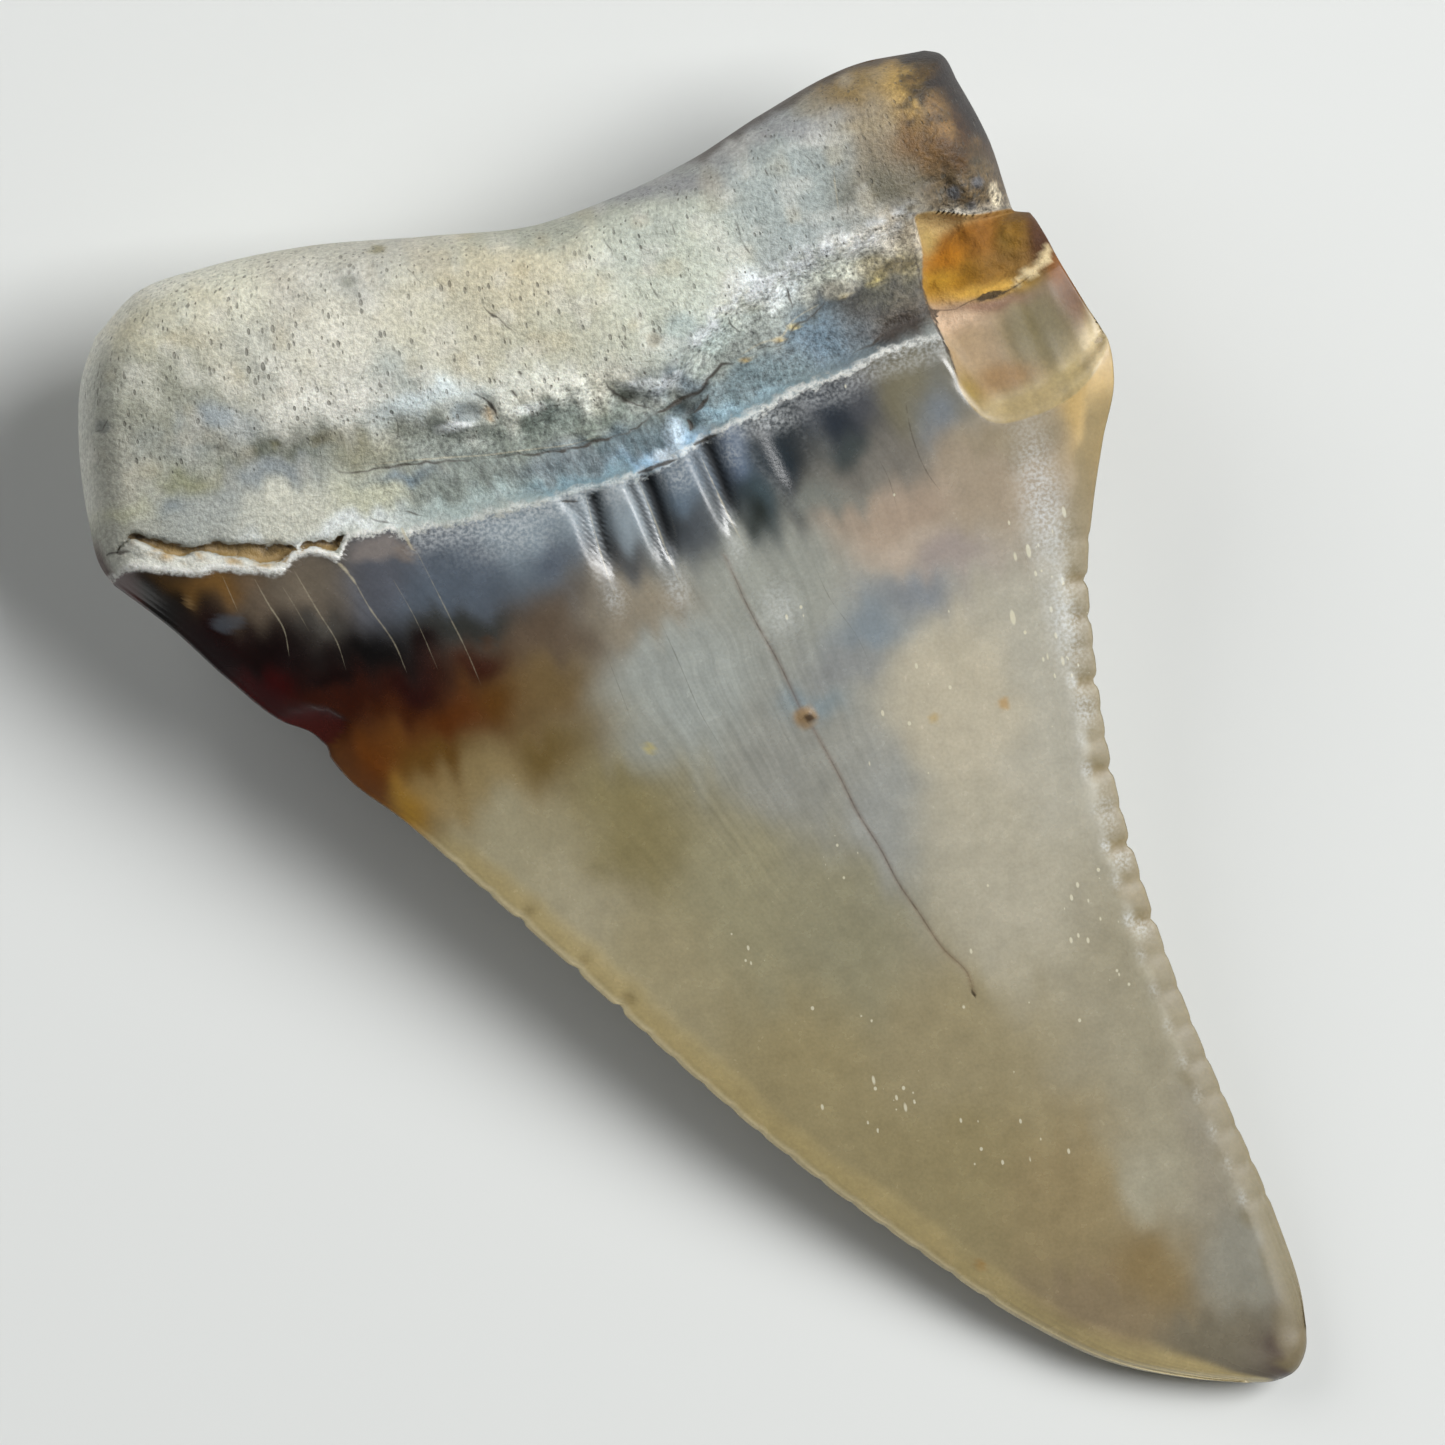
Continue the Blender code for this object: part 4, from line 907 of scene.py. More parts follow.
def stained(stains, px, py):
    """Colours at places: the mean of all ovals' colours, weight (1 + squared distance in radii) ** -FALLOFF.
    The ovals' colours are first corrected until the blend shows each one's own colour at its middle."""
    sx, sy, rx, ry = np.array([stain[1:5] for stain in stains]).T
    wanted = np.array([linear(stain[5]) for stain in stains])

    def shares(ax, ay):
        distance = ((ax[..., None] - sx) / rx) ** 2 + ((ay[..., None] - sy) / ry) ** 2
        weight = (1 + distance) ** -FALLOFF
        return weight / weight.sum(axis=-1, keepdims=True)

    at_middles = shares(sx, sy)
    colours = wanted.copy()
    for _ in range(CORRECTIONS):
        colours = np.maximum(colours + 0.7 * (wanted - at_middles @ colours), 0.0)
    return shares(px, py) @ colours


def over(colours, hex_colour, share):
    """Colours with a layer of another laid on, as thick as share says, 0 to 1."""
    return colours + share[..., None] * (np.array(linear(hex_colour)) - colours)


def layered(colours, layers):
    """Colours with layers laid on in turn. Each is what it is, its colour and how thick it lies."""
    for _, hex_colour, share in layers:
        colours = over(colours, hex_colour, share)
    return colours


def blotches(colours, table):
    """Colours with small ragged patches laid on. Each is name, x, y, radii, colour and thickness."""
    for _, bx, by, rx, ry, hex_colour, thick in table:
        distance = np.hypot((x - bx) / rx, (y - by) / ry) + 0.25 * grain(x, y, 0.7 * min(rx, ry) + 0.05, 71)
        colours = over(colours, hex_colour, thick * smooth(1.3, 0.6, distance))
    return colours


bent_x = x + WANDER * (0.7 * ripple(x, y, 3.0, 72) + 0.3 * grain(x, y, 0.8, 73))
bent_y = y + WANDER * (0.7 * ripple(x, y, 3.0, 74) + 0.8 * grain(x, 0.3 * y, 0.4, 75))
print("borders wander by about", WANDER, "mm")

# %% Enamel stains
# Each is name, x, y, radius in x, radius in y, colour.
ENAMEL_STAINS = [
    ("burnt corner", -14.9, 9.2, 0.9, 0.7, "000000"),
    ("burnt brown edge", -13.6, 7.4, 1.0, 1.0, "130000"),
    ("warm shoulder top", -13.4, 9.6, 1.0, 0.4, "664A24"),
    ("brown shoulder top", -11.9, 9.0, 0.8, 0.6, "584D40"),
    ("grey-brown shoulder", -10.4, 9.0, 1.0, 0.7, "665D50"),
    ("black band", -11.6, 7.2, 1.3, 0.8, "0E0000"),
    ("black band end", -8.8, 6.7, 1.1, 0.6, "000000"),
    ("red-brown edge", -12.2, 5.8, 0.8, 0.7, "2D0000"),
    ("red-brown", -9.7, 5.1, 1.2, 0.8, "2D0D00"),
    ("brown", -7.6, 5.3, 1.1, 0.7, "260000"),
    ("amber-brown", -8.2, 4.8, 0.6, 0.4, "3A1800"),
    ("black-brown", -10.0, 6.0, 0.9, 0.4, "120300"),
    ("dark brown", -7.0, 6.3, 0.7, 0.35, "150000"),
    ("olive brown", -5.2, 5.5, 0.7, 0.45, "371A00"),
    ("grey gap", -10.2, 7.8, 0.4, 0.3, "43403B"),
    ("amber edge", -9.1, 2.7, 1.1, 1.1, "5C3200"),
    ("amber middle", -6.6, 4.0, 1.4, 0.8, "532B00"),
    ("olive amber", -4.9, 4.3, 0.9, 0.8, "573800"),
    ("amber strip", -8.3, 1.4, 0.5, 1.0, "98732A"),
    ("amber foot", -7.2, 2.9, 1.2, 0.6, "5D4200"),
    ("brown rim of the shoulder", -15.9, 10.0, 0.3, 0.5, "3F0700"),
    ("burnt top", -15.1, 9.8, 0.35, 0.35, "000000"),
    ("violet grey", -8.0, 8.7, 0.9, 0.7, "52555C"),
    ("slate", -5.2, 8.3, 1.6, 1.0, "515A64"),
    ("slate foot", -5.4, 6.8, 1.4, 0.5, "30312E"),
    ("blue grey by the neck", -3.0, 9.2, 1.2, 0.8, "7A878F"),
    ("brown haze", -3.2, 6.2, 1.3, 0.9, "5A4C3D"),
    ("brown haze foot", -3.5, 4.4, 1.2, 1.0, "6C5939"),
    ("olive flank", -6.2, 1.9, 1.8, 1.0, "887752"),
    ("dull flank", -3.9, 2.3, 1.0, 0.8, "67552F"),
    ("pale flank", -5.6, 0.0, 1.2, 1.6, "999176"),
    ("pale flank foot", -3.6, -2.8, 1.2, 1.8, "9F977D"),
    ("moss", -1.6, -0.6, 1.6, 2.0, "837955"),
    ("straw edge", -1.6, -5.5, 1.8, 2.0, "9B9172"),
    ("fold grey left", -0.2, 9.3, 0.5, 0.9, "97A3AA"),
    # Painted shade on the bank right of the first fold pair.
    ("fold umber left", -0.2, 7.8, 0.5, 0.6, "555656"),
    ("fold foot", 0.0, 6.2, 1.2, 0.7, "8C8372"),
    ("fold slate", 2.0, 9.9, 0.6, 0.6, "6A7986"),
    # Painted shade on the bank right of the second fold pair.
    ("fold grey", 2.2, 8.6, 0.7, 0.8, "52575B"),
    ("fold slate right", 3.8, 10.3, 0.4, 0.6, "68788D"),
    # Painted shade right of the third fold pair and in the shallow hollows beyond it.
    ("fold grey right", 4.2, 9.0, 0.6, 0.8, "3D494D"),
    ("hollow dark", 5.4, 10.3, 0.5, 0.8, "1A252C"),
    ("hollow dark right", 7.2, 11.2, 0.8, 0.9, "2A3038"),
    ("hollow foot", 6.6, 8.7, 1.2, 0.5, "757770"),
    # Painted shade in the hollow, like the next oval.
    ("hollow dark foot", 5.5, 9.2, 0.5, 0.9, "34383A"),
    ("hollow shade", 7.4, 10.1, 0.6, 0.5, "3E4443"),
    ("dark pewter", 8.4, 11.4, 0.7, 0.9, "4A4C50"),
    # Painted shade right of the third fold pair.
    ("fold grey foot", 4.0, 8.5, 0.4, 0.4, "2E3432"),
    ("slate right", -2.5, 8.6, 0.8, 0.6, "57606A"),
    ("pink blush foot", 8.8, 6.7, 1.0, 0.5, "AC9E8E"),
    ("pewter", 9.9, 11.6, 1.0, 1.2, "716C59"),
    ("blue by the scar", 10.5, 10.8, 0.5, 1.2, "72777A"),
    ("pewter foot", 8.4, 9.4, 1.4, 0.7, "736F67"),
    ("pink blush", 8.9, 7.8, 1.5, 0.7, "A2917F"),
    ("pale right", 11.8, 8.0, 1.6, 1.3, "9D8F7B"),
    ("pale centre", 4.3, 6.4, 1.6, 1.2, "96988F"),
    ("cloud grey", 0.8, 3.4, 1.7, 1.8, "9A9E98"),
    ("blue band foot", 4.8, 2.3, 0.7, 0.5, "7F898B"),
    ("blue band low", 6.1, 3.3, 0.8, 0.5, "868886"),
    ("blue band", 7.4, 4.2, 1.0, 0.6, "7F888D"),
    ("blue band high", 8.8, 5.1, 1.0, 0.6, "808487"),
    ("blue band top", 10.2, 6.0, 1.0, 0.6, "998E87"),
    ("blue by the crack", 6.4, -1.6, 0.9, 2.2, "959690"),
    ("grey by the crack", 3.6, 0.4, 1.4, 2.0, "8D8D85"),
    ("cream right", 9.6, 1.6, 1.7, 2.4, "B4AC97"),
    ("cream far right", 12.2, 1.0, 1.3, 4.0, "AAA697"),
    ("sage middle", 1.4, -3.4, 1.8, 2.2, "918B6F"),
    ("sage", 4.4, -5.4, 1.6, 2.2, "8A856C"),
    ("stone right", 10.2, -4.5, 1.8, 3.0, "AAA491"),
    ("brown middle", 7.2, -9.3, 2.4, 2.0, "94896A"),
    ("stone far right", 12.8, -9.0, 1.4, 3.4, "98917B"),
    ("straw lower edge", 2.2, -9.6, 2.2, 2.2, "938764"),
    ("moss lower", 6.4, -13.8, 2.4, 2.2, "8F8360"),
    ("umber", 9.8, -14.6, 1.8, 1.8, "918260"),
    ("pale lower", 12.7, -14.9, 0.8, 1.6, "9F9984"),
    ("stone lower right", 14.6, -14.6, 0.7, 2.0, "938C7A"),
    ("umber near the tip", 12.0, -17.8, 1.2, 1.2, "83714E"),
    ("blue near the tip", 14.9, -18.0, 0.9, 1.6, "888578"),
    ("straw near the tip", 10.2, -19.0, 1.6, 1.2, "86775D"),
    ("grey tip", 14.2, -20.6, 1.6, 0.9, "6F6857"),
    ("rust tip", 16.0, -21.3, 0.7, 0.6, "3A2428"),
    ("tan beside the scar", 15.4, 9.3, 0.7, 1.0, "C2A469"),
    ("milky under the scar", 12.8, 9.3, 1.2, 0.5, "92866F"),
]
ENAMEL_BLOTCHES = [
    ("blue cloud", -13.0, 8.4, 0.5, 0.26, "454A50", 0.65),
    ("pale spot", -14.12, 9.28, 0.12, 0.2, "7A6240", 0.6),
    ("pink-grey under the rim", -7.9, 9.8, 0.9, 0.4, "8C827A", 0.6),
    ("peach right", -6.95, 9.5, 0.3, 0.35, "86786A", 0.5),
    ("brown at the shoulder", -12.0, 9.6, 0.5, 0.3, "5E4E3C", 0.4),
    ("mineral spot", 4.58, 1.92, 0.4, 0.36, "8E7450", 0.9),
    ("mineral spot's core", 4.66, 1.86, 0.17, 0.15, "3A2C1E", 0.9),
    ("yellow speck", -0.54, 1.87, 0.16, 0.2, "B3A66A", 0.7),
    ("orange speck", 10.87, 1.11, 0.2, 0.22, "B08E58", 0.7),
    ("orange speck left", 8.6, 1.1, 0.16, 0.16, "B29A66", 0.6),
    ("orange spot", 6.7, -16.68, 0.18, 0.2, "8A5F22", 0.7),
    ("rust fleck", -5.0, 6.2, 0.2, 0.3, "5A3410", 0.25),
    ("red near the chip", -11.5, 5.2, 0.5, 0.3, "2E0A08", 0.6),
]
CRACK_BROWN = "5E3C26"

enamel = blotches(stained(ENAMEL_STAINS, bent_x, bent_y), ENAMEL_BLOTCHES)
rim_mm = inset / (1 + 0.3 * grain(x, y, 0.7, 81))
calm_mm = inset / (1 + 0.15 * grain(x, y, 1.5, 80))
right_rim = smooth(0.2, 0.5, q) * smooth(-8.5, -6.5, y) * smooth(11.0, 9.5, y)
lower_rim = smooth(-6.5, -8.5, y) * smooth(0.2, 0.5, q)
left_rim = smooth(-0.2, -0.5, q) * smooth(1.2, -0.8, y)
has_scoops = np.maximum(right_rim, 0.6 * np.maximum(left_rim, lower_rim))
# Along the rims the thin clear edge is painted tan and cream: partly its own tone, partly a painted glow of
# light through it.
enamel = layered(enamel, [
    ("right rim", "7C6E4A", 0.75 * right_rim * smooth(0.95, 0.5, rim_mm)),
    ("right rim near the tip", "786D4E", 0.75 * lower_rim * smooth(1.1, 0.6, rim_mm)),
    ("tan left rim", "BCA976", 0.8 * left_rim * smooth(1.2, 0.4, calm_mm)),
    ("cream line on the left rim", "C6B994", 0.8 * left_rim * smooth(0.3, 0.14, calm_mm)),
    # The scoops are painted darker tan, a painted shade in the dimples.
    ("tan scoops", "7E6E46", 0.75 * has_scoops * smooth(0.2, 0.7, scoop_cover)),
    ("red chip", "3A0F0E", 0.75 * smooth(0.05, 0.5, chip)),
])
# Painted shade: the fold grooves are painted near black over their dark stain, and their right banks darker.
enamel_lip = layered(enamel, [
    ("shade on the banks", "23282E", 0.4 * fold_shade),
    ("dark grooves", "0C1216", 0.9 * smooth(0.2, 0.8, groove_stain_and_shade)),
])
for knots, _, _, _ in CUTS[:2]:
    close, _, away, _ = track(knots, 0.6)
    enamel_lip[close] = over(enamel_lip[close], CRACK_BROWN, 0.4 * bell(away, 0.07))
# Left of each hair crack in the burnt shoulder the enamel is painted lighter, a painted light on one side of
# the crack.
for knots, strength in SHOULDER_CRACKS:
    close, off, away, share = track(knots, 1.0)
    lit = 0.8 * strength * smooth(0.0, 0.08, share) * smooth(1.0, 0.75, share) * smooth(-0.02, 0.02, -off)
    enamel_lip[close] *= (1 + 1.6 * lit * bell(away, 0.35))[:, None]
print(len(ENAMEL_STAINS), "stains and", len(ENAMEL_BLOTCHES), "blotches in the enamel")

# %% Root stains
ROOT_STAINS = [
    ("worn left end", -15.6, 13.6, 1.4, 2.0, "9A9A8E"),
    ("grey left", -13.4, 15.6, 1.6, 1.6, "959687"),
    ("grey below", -13.0, 12.0, 1.6, 0.7, "989C96"),
    ("blue left", -12.4, 14.6, 0.9, 0.5, "98A0A2"),
    ("blue below", -10.8, 12.7, 1.2, 0.4, "7A8284"),
    ("blue far left", -14.3, 12.5, 0.7, 0.3, "7C8484"),
    ("moss left", -13.6, 13.2, 1.0, 0.35, "7F8167"),
    ("moss far left", -15.6, 12.5, 0.8, 0.35, "A2A28C"),
    ("cream below", -10.4, 11.6, 1.6, 0.5, "BDBDAF"),
    ("cream beside the crack", -7.8, 11.6, 1.0, 0.5, "B2B39D"),
    # Painted shadow: the grey and the dark olive band under the lip.
    ("grey band", -10.4, 13.5, 1.6, 0.35, "5B5F52"),
    ("dark olive shadow band", -7.6, 12.9, 1.0, 0.35, "7F7F6B"),
    ("brown tan left", -13.4, 18.5, 1.0, 0.8, "C4BFA5"),
    ("pale top left", -11.2, 18.3, 1.6, 0.8, "CECDBA"),
    ("pale left", -8.4, 16.4, 1.8, 1.4, "CBC9BA"),
    ("peach left", -9.4, 18.2, 0.8, 0.8, "BDB9AA"),
    ("cool left", -11.0, 16.6, 1.2, 0.8, "BCBAA9"),
    # Painted highlights on the lip's crest.
    ("white left of middle", -8.0, 14.7, 1.6, 0.45, "E1E0D5"),
    ("white shelf", -5.6, 14.2, 1.4, 0.35, "D2DDDD"),
    ("cool shelf", -6.2, 15.0, 0.8, 0.5, "ABB1A9"),
    ("green-grey neck", -5.2, 12.7, 1.4, 0.4, "80867E"),
    ("blue under the crack", -6.8, 12.0, 0.9, 0.2, "66747A"),
    ("ice neck left", -4.6, 11.4, 1.5, 0.45, "79817A"),
    ("white base left", -9.0, 10.8, 1.8, 0.25, "D3D8D5"),
    ("ice base left", -4.6, 10.8, 2.0, 0.25, "93A09C"),
    ("cool top left", -6.0, 18.7, 1.4, 0.6, "B4B2A6"),
    ("cream middle", -2.4, 17.2, 2.2, 1.2, "C0B99F"),
    ("yellow middle", -0.8, 15.4, 1.6, 0.8, "B5B4A0"),
    ("yellow left", -4.2, 16.6, 1.4, 1.0, "BEBBA7"),
    ("cool top middle", -0.4, 18.8, 2.0, 0.35, "A7A99A"),
    # Painted highlight on the lip's crest.
    ("white lip", -1.4, 13.7, 1.6, 0.4, "DCDDD0"),
    ("moss neck", -1.4, 12.6, 1.6, 0.4, "6C756B"),
    ("ice neck", -1.6, 11.3, 1.6, 0.35, "6E7A7E"),
    ("wrinkled blue", 0.7, 11.5, 0.8, 0.4, "5A6B71"),
    ("ice base", -1.0, 10.72, 2.0, 0.2, "718A94"),
    ("white base", 1.4, 11.0, 0.8, 0.22, "91B2CB"),
    ("cream right", 3.0, 17.0, 2.0, 1.6, "BFC4B5"),
    # A painted highlight on the lip, then painted shadow under it.
    ("white lip right", 3.4, 14.6, 0.9, 0.4, "B0BCB6"),
    ("grey under the lip", 4.8, 14.1, 1.0, 0.4, "909690"),
    ("moss right", 2.8, 13.2, 0.8, 0.3, "6E7A7F"),
    ("dark by the fissure", 2.7, 12.2, 0.5, 0.3, "2A3638"),
    ("ice neck right", 4.9, 12.8, 1.1, 0.5, "6D7E82"),
    ("ice base right", 3.8, 12.0, 1.0, 0.2, "859FAA"),
    ("blue neck right", 7.2, 13.7, 1.0, 0.5, "637784"),
    ("silver right", 7.2, 18.4, 1.8, 1.6, "9AA3A0"),
    ("blue right", 6.8, 16.9, 1.6, 0.5, "A7AEAA"),
    # Painted highlights on the lip's crest, then painted shadow in the hollow under it.
    ("silver lip", 6.0, 15.5, 1.0, 0.3, "E4EBEB"),
    ("silver lip right", 9.4, 16.5, 1.6, 0.3, "E6E2D6"),
    ("umber under the lip", 9.4, 15.6, 1.0, 0.3, "827752"),
    ("dusty lip", 8.0, 15.5, 0.6, 0.35, "C7CABB"),
    ("dusty lip end", 10.6, 16.5, 0.5, 0.4, "A69C88"),
    # Painted shadow in the hollow under the lip.
    ("umber neck", 8.9, 14.7, 1.1, 0.45, "140400"),
    ("black neck", 9.9, 14.3, 0.8, 0.45, "574F44"),
    ("violet neck foot", 9.8, 13.6, 0.8, 0.25, "382E26"),
    ("grey by the corner", 9.9, 17.9, 1.1, 0.9, "625E4D"),
    ("brown by the corner", 10.3, 19.8, 0.9, 1.2, "887C65"),
    ("olive corner", 11.5, 20.6, 0.8, 1.0, "A6884A"),
    ("tan corner", 11.3, 19.2, 0.7, 0.8, "6B4E10"),
    ("orange corner", 12.4, 18.9, 0.7, 0.5, "543800"),
    ("dark corner", 12.6, 20.8, 0.6, 1.0, "000000"),
    ("black corner", 13.2, 21.2, 0.5, 1.2, "000000"),
    ("porous break", 12.8, 17.6, 1.0, 0.6, "5A4A30"),
    ("cool top", 3.0, 19.4, 2.0, 0.4, "939494"),
    ("cool top right", 6.6, 20.5, 2.0, 0.5, "9A9A99"),
    ("tan top right", 9.8, 21.4, 1.0, 0.5, "846B36"),
]
ROOT_BLOTCHES = [
    ("foramen floor", -4.15, 13.5, 0.55, 0.36, "8B979C", 0.8),
    ("foramen's cream side", -3.5, 13.35, 0.16, 0.3, "B8A07C", 0.8),
    # Painted light: these three white ovals lift the shade at the foot of the lip.
    ("white fold", -4.7, 13.15, 0.6, 0.16, "E8ECEC", 0.9),
    ("white foot of the lip", -2.2, 13.25, 0.6, 0.16, "E4E8E2", 0.8),
    ("white foot right", 1.6, 13.25, 0.5, 0.2, "DDE2E0", 0.8),
    ("white lump", 2.15, 11.55, 0.3, 0.6, "B4C6D2", 0.95),
    ("grey hollow", -7.1, 18.3, 0.26, 0.18, "8F9288", 0.7),
    ("olive hollow", -6.0, 19.2, 0.26, 0.16, "8F865E", 0.8),
    ("dark smudge", -15.7, 15.3, 0.3, 0.2, "5E6462", 0.6),
    ("pit", -12.2, 13.85, 0.14, 0.14, "6A6C66", 0.7),
    ("olive pit", -10.4, 13.7, 0.15, 0.13, "6A6848", 0.7),
    ("olive smear", -9.1, 13.55, 0.26, 0.18, "66634C", 0.8),
    ("ring", 2.12, 14.62, 0.28, 0.28, "A8A290", 0.7),
    ("yellow crumb", 6.59, 14.2, 0.2, 0.12, "C8B880", 0.9),
    ("yellow crumb left", 6.04, 13.91, 0.12, 0.12, "BFA870", 0.8),
    ("brown crumb", 4.84, 13.46, 0.2, 0.08, "A88E54", 0.8),
    ("yellow crumb right", 9.36, 15.13, 0.14, 0.14, "C8B878", 0.9),
    ("yellow crumb middle", 8.36, 14.87, 0.16, 0.1, "A89868", 0.8),
    # Painted shadow in the hollow under the lip.
    ("olive hollow by the scar", 10.3, 15.5, 0.6, 0.22, "54492C", 0.75),
    ("dark beside the scar", 10.7, 14.0, 0.2, 0.4, "4A443A", 0.5),
    ("brown pit by the corner", 11.55, 17.85, 0.25, 0.22, "4A3A22", 0.8),
    ("cream patch", 13.72, 17.1, 0.22, 0.42, "C9BDA2", 0.95),
    ("blue pit", 12.4, 17.4, 0.2, 0.25, "4E535A", 0.8),
    ("blue pit right", 13.2, 17.6, 0.2, 0.2, "53565C", 0.8),
    ("blue pit low", 12.9, 16.9, 0.2, 0.16, "565A60", 0.7),
    ("blue pit high", 13.3, 18.3, 0.2, 0.14, "3C3628", 0.7),
    ("brown above the break", 13.1, 18.6, 0.5, 0.25, "3E2C14", 0.5),
    ("brown corner top", 12.3, 21.4, 0.5, 0.4, "3A2400", 0.7),
    ("brown right edge", 13.1, 19.8, 0.35, 0.8, "2E1400", 0.7),
    ("dusty neck", 8.2, 15.15, 0.6, 0.32, "A8A494", 0.6),
    ("white foot of the lump", 1.75, 11.0, 0.45, 0.2, "C4D2DC", 0.9),
    ("trough", 0.9, 13.05, 0.4, 0.22, "5E655F", 0.8),
]
BLUE_GREY = "98A3A6"
EDGE_BROWN = "34200E"
PIT_GREY = "6A6858"

clean = is_root * smooth(11.4, 9.6, x)
lip_highlight = bell(neck - 1.06, 0.12) * smooth(0.0, 2.0, x) * smooth(11.6, 10.6, x)
corner = smooth(10.6, 11.8, x) * smooth(18.2, 19.2, y)
root = layered(stained(ROOT_STAINS, bent_x, bent_y), [
    ("blue-grey clouds", BLUE_GREY, 0.2 * smooth(0.1, 0.8, grain(x, y, 1.3, 82)) * clean),
    ("tan clouds", "B8A67C", 0.22 * smooth(0.2, 0.8, grain(x, y, 0.8, 83)) * clean),
    ("cream clouds", "DAD8CE", 0.3 * smooth(0.1, 0.8, grain(x, y, 0.6, 84)) * clean),
    # Painted highlight along the lip's crest.
    ("white line on the lip", "DCE0E2", 0.75 * lip_highlight * smooth(-0.4, 0.5, grain(x, y, 0.22, 88))),
    ("mud on the corner", "160A02", 0.85 * corner * smooth(0.0, 0.6, grain(x, y, 0.3, 89))),
    ("ochre on the corner", "A8824A", 0.35 * corner * smooth(0.3, 0.8, grain(x, y, 0.45, 90))),
])
root = blotches(root, ROOT_BLOTCHES)
ragged_mm = inset + 0.12 * grain(x, y, 0.4, 85)
top_edge = smooth(0.5, 0.1, ragged_mm) * smooth(3.4, 5.0, x) * smooth(16.0, 19.0, y)
ragged_mm = inset + 0.25 * grain(x, y, 0.5, 86)
corner_edge = smooth(1.1, 0.3, ragged_mm) * smooth(11.0, 12.2, x) * smooth(18.4, 19.4, y)
pale_end = smooth(1.0, 0.1, inset) * smooth(-9.0, -13.0, x) * smooth(12.0, 13.0, y)
near_gap = smooth(0.4, 0.1, -lower_gap) * smooth(-15.8, -14.8, x)
left_end = smooth(0.45, 0.1, inset) * smooth(-15.0, -16.2, x) * smooth(12.2, 11.2, y)
root = layered(root, [
    ("brown top edge", EDGE_BROWN, 0.85 * top_edge),
    ("burnt edge of the corner", "140500", 0.97 * corner_edge),
    ("worn pale end", "E8E8DE", 0.5 * pale_end),
    ("white crumbs of the crevice", "C8C8BE", 0.8 * crumbled * smooth(-17.5, -14.0, x)),
    ("tan crumbs", "A88C5A", 0.85 * crumbled * near_gap * smooth(-0.3, 0.4, grain(x, y, 0.25, 87))),
    ("brown left end", "3A1A10", 0.9 * left_end),
])
# The pits on the lip side are painted darker grey.
root_lip = over(root, PIT_GREY, 0.35 * smooth(0.2, 0.9, pit_inside))
print(len(ROOT_STAINS), "stains and", len(ROOT_BLOTCHES), "blotches in the root")

# %% Scar stains
SCAR_STAINS = [
    ("tan top left", 11.8, 16.65, 0.7, 0.3, "BDA26E"),
    ("tan left edge", 11.3, 16.2, 0.25, 0.5, "A58D55"),
    ("amber left", 11.7, 15.5, 0.5, 0.45, "A16700"),
    ("amber low left", 11.5, 14.8, 0.5, 0.3, "AF821F"),
    ("amber centre", 12.8, 15.9, 0.6, 0.4, "8A5800"),
    ("olive spot", 13.75, 15.7, 0.25, 0.3, "745400"),
    ("amber right", 14.2, 15.9, 0.4, 0.4, "7A5600"),
    ("amber light", 12.4, 14.7, 0.9, 0.3, "875E00"),
    ("brown above the ledge", 12.8, 14.2, 0.8, 0.15, "C99D41"),
    ("red-brown edge", 14.8, 15.6, 0.3, 0.6, "4A2600"),
    ("orange beside the crust", 15.2, 14.2, 0.25, 0.4, "7A4A14"),
    ("pink", 11.8, 13.4, 0.7, 0.3, "C7AC90"),
    ("white under the ledge", 12.8, 13.75, 0.9, 0.14, "8F705A"),
    ("beige", 12.3, 12.4, 0.8, 0.8, "A08969"),
    ("green-grey", 14.1, 12.5, 0.95, 0.95, "706543"),
    ("tan right", 15.4, 13.4, 0.35, 0.6, "643D00"),
    ("orange foot", 12.8, 11.4, 0.8, 0.35, "8C6C3F"),
    ("cream foot", 13.6, 10.45, 1.4, 0.3, "A39167"),
    ("cream foot right", 15.0, 11.0, 0.5, 0.35, "AC9A6C"),
    ("cream left", 11.6, 11.1, 0.3, 0.6, "8A7334"),
    ("cream right", 15.9, 11.7, 0.35, 0.7, "C4B28A"),
]
CRUST_CREAM = "CDB98E"
scar = stained(SCAR_STAINS, x + 0.3 * (bent_x - x), y + 0.3 * (bent_y - y))
mottled = 1 + 0.14 * grain(x, y, 0.5, 91) * spall_above + 0.12 * striae
scar = scar * mottled[..., None]
scar = over(scar, CRUST_CREAM, 0.95 * crust)
print(len(SCAR_STAINS), "stains in the scar")

# %% Frost, painted highlights, contrast and pores
# Frost is the ground, sparkling look of enamel at the neck. On the crests, beside the scoops and along
# the right bevel it also carries a painted highlight.
CREST_HIGHLIGHTS = [
    ([(-1.62, 10.0), (-1.42, 9.0), (-1.26, 8.2), (-1.05, 7.2), (-0.8, 6.5)], 0.3),
    ([(0.22, 10.5), (0.45, 9.7), (0.62, 8.8), (0.75, 8.1), (0.95, 7.3), (1.2, 6.7), (1.5, 5.9)], 0.3),
    ([(2.42, 10.9), (2.65, 10.1), (2.85, 9.3), (3.0, 8.5), (3.1, 8.0), (3.35, 7.4)], 0.25),
    ([(4.1, 11.5), (4.55, 10.3), (4.9, 9.6), (5.2, 8.9), (5.6, 8.0)], 0.12),
    ([(5.9, 12.0), (6.1, 10.9), (6.3, 9.9), (6.5, 9.1)], 0.1),
]
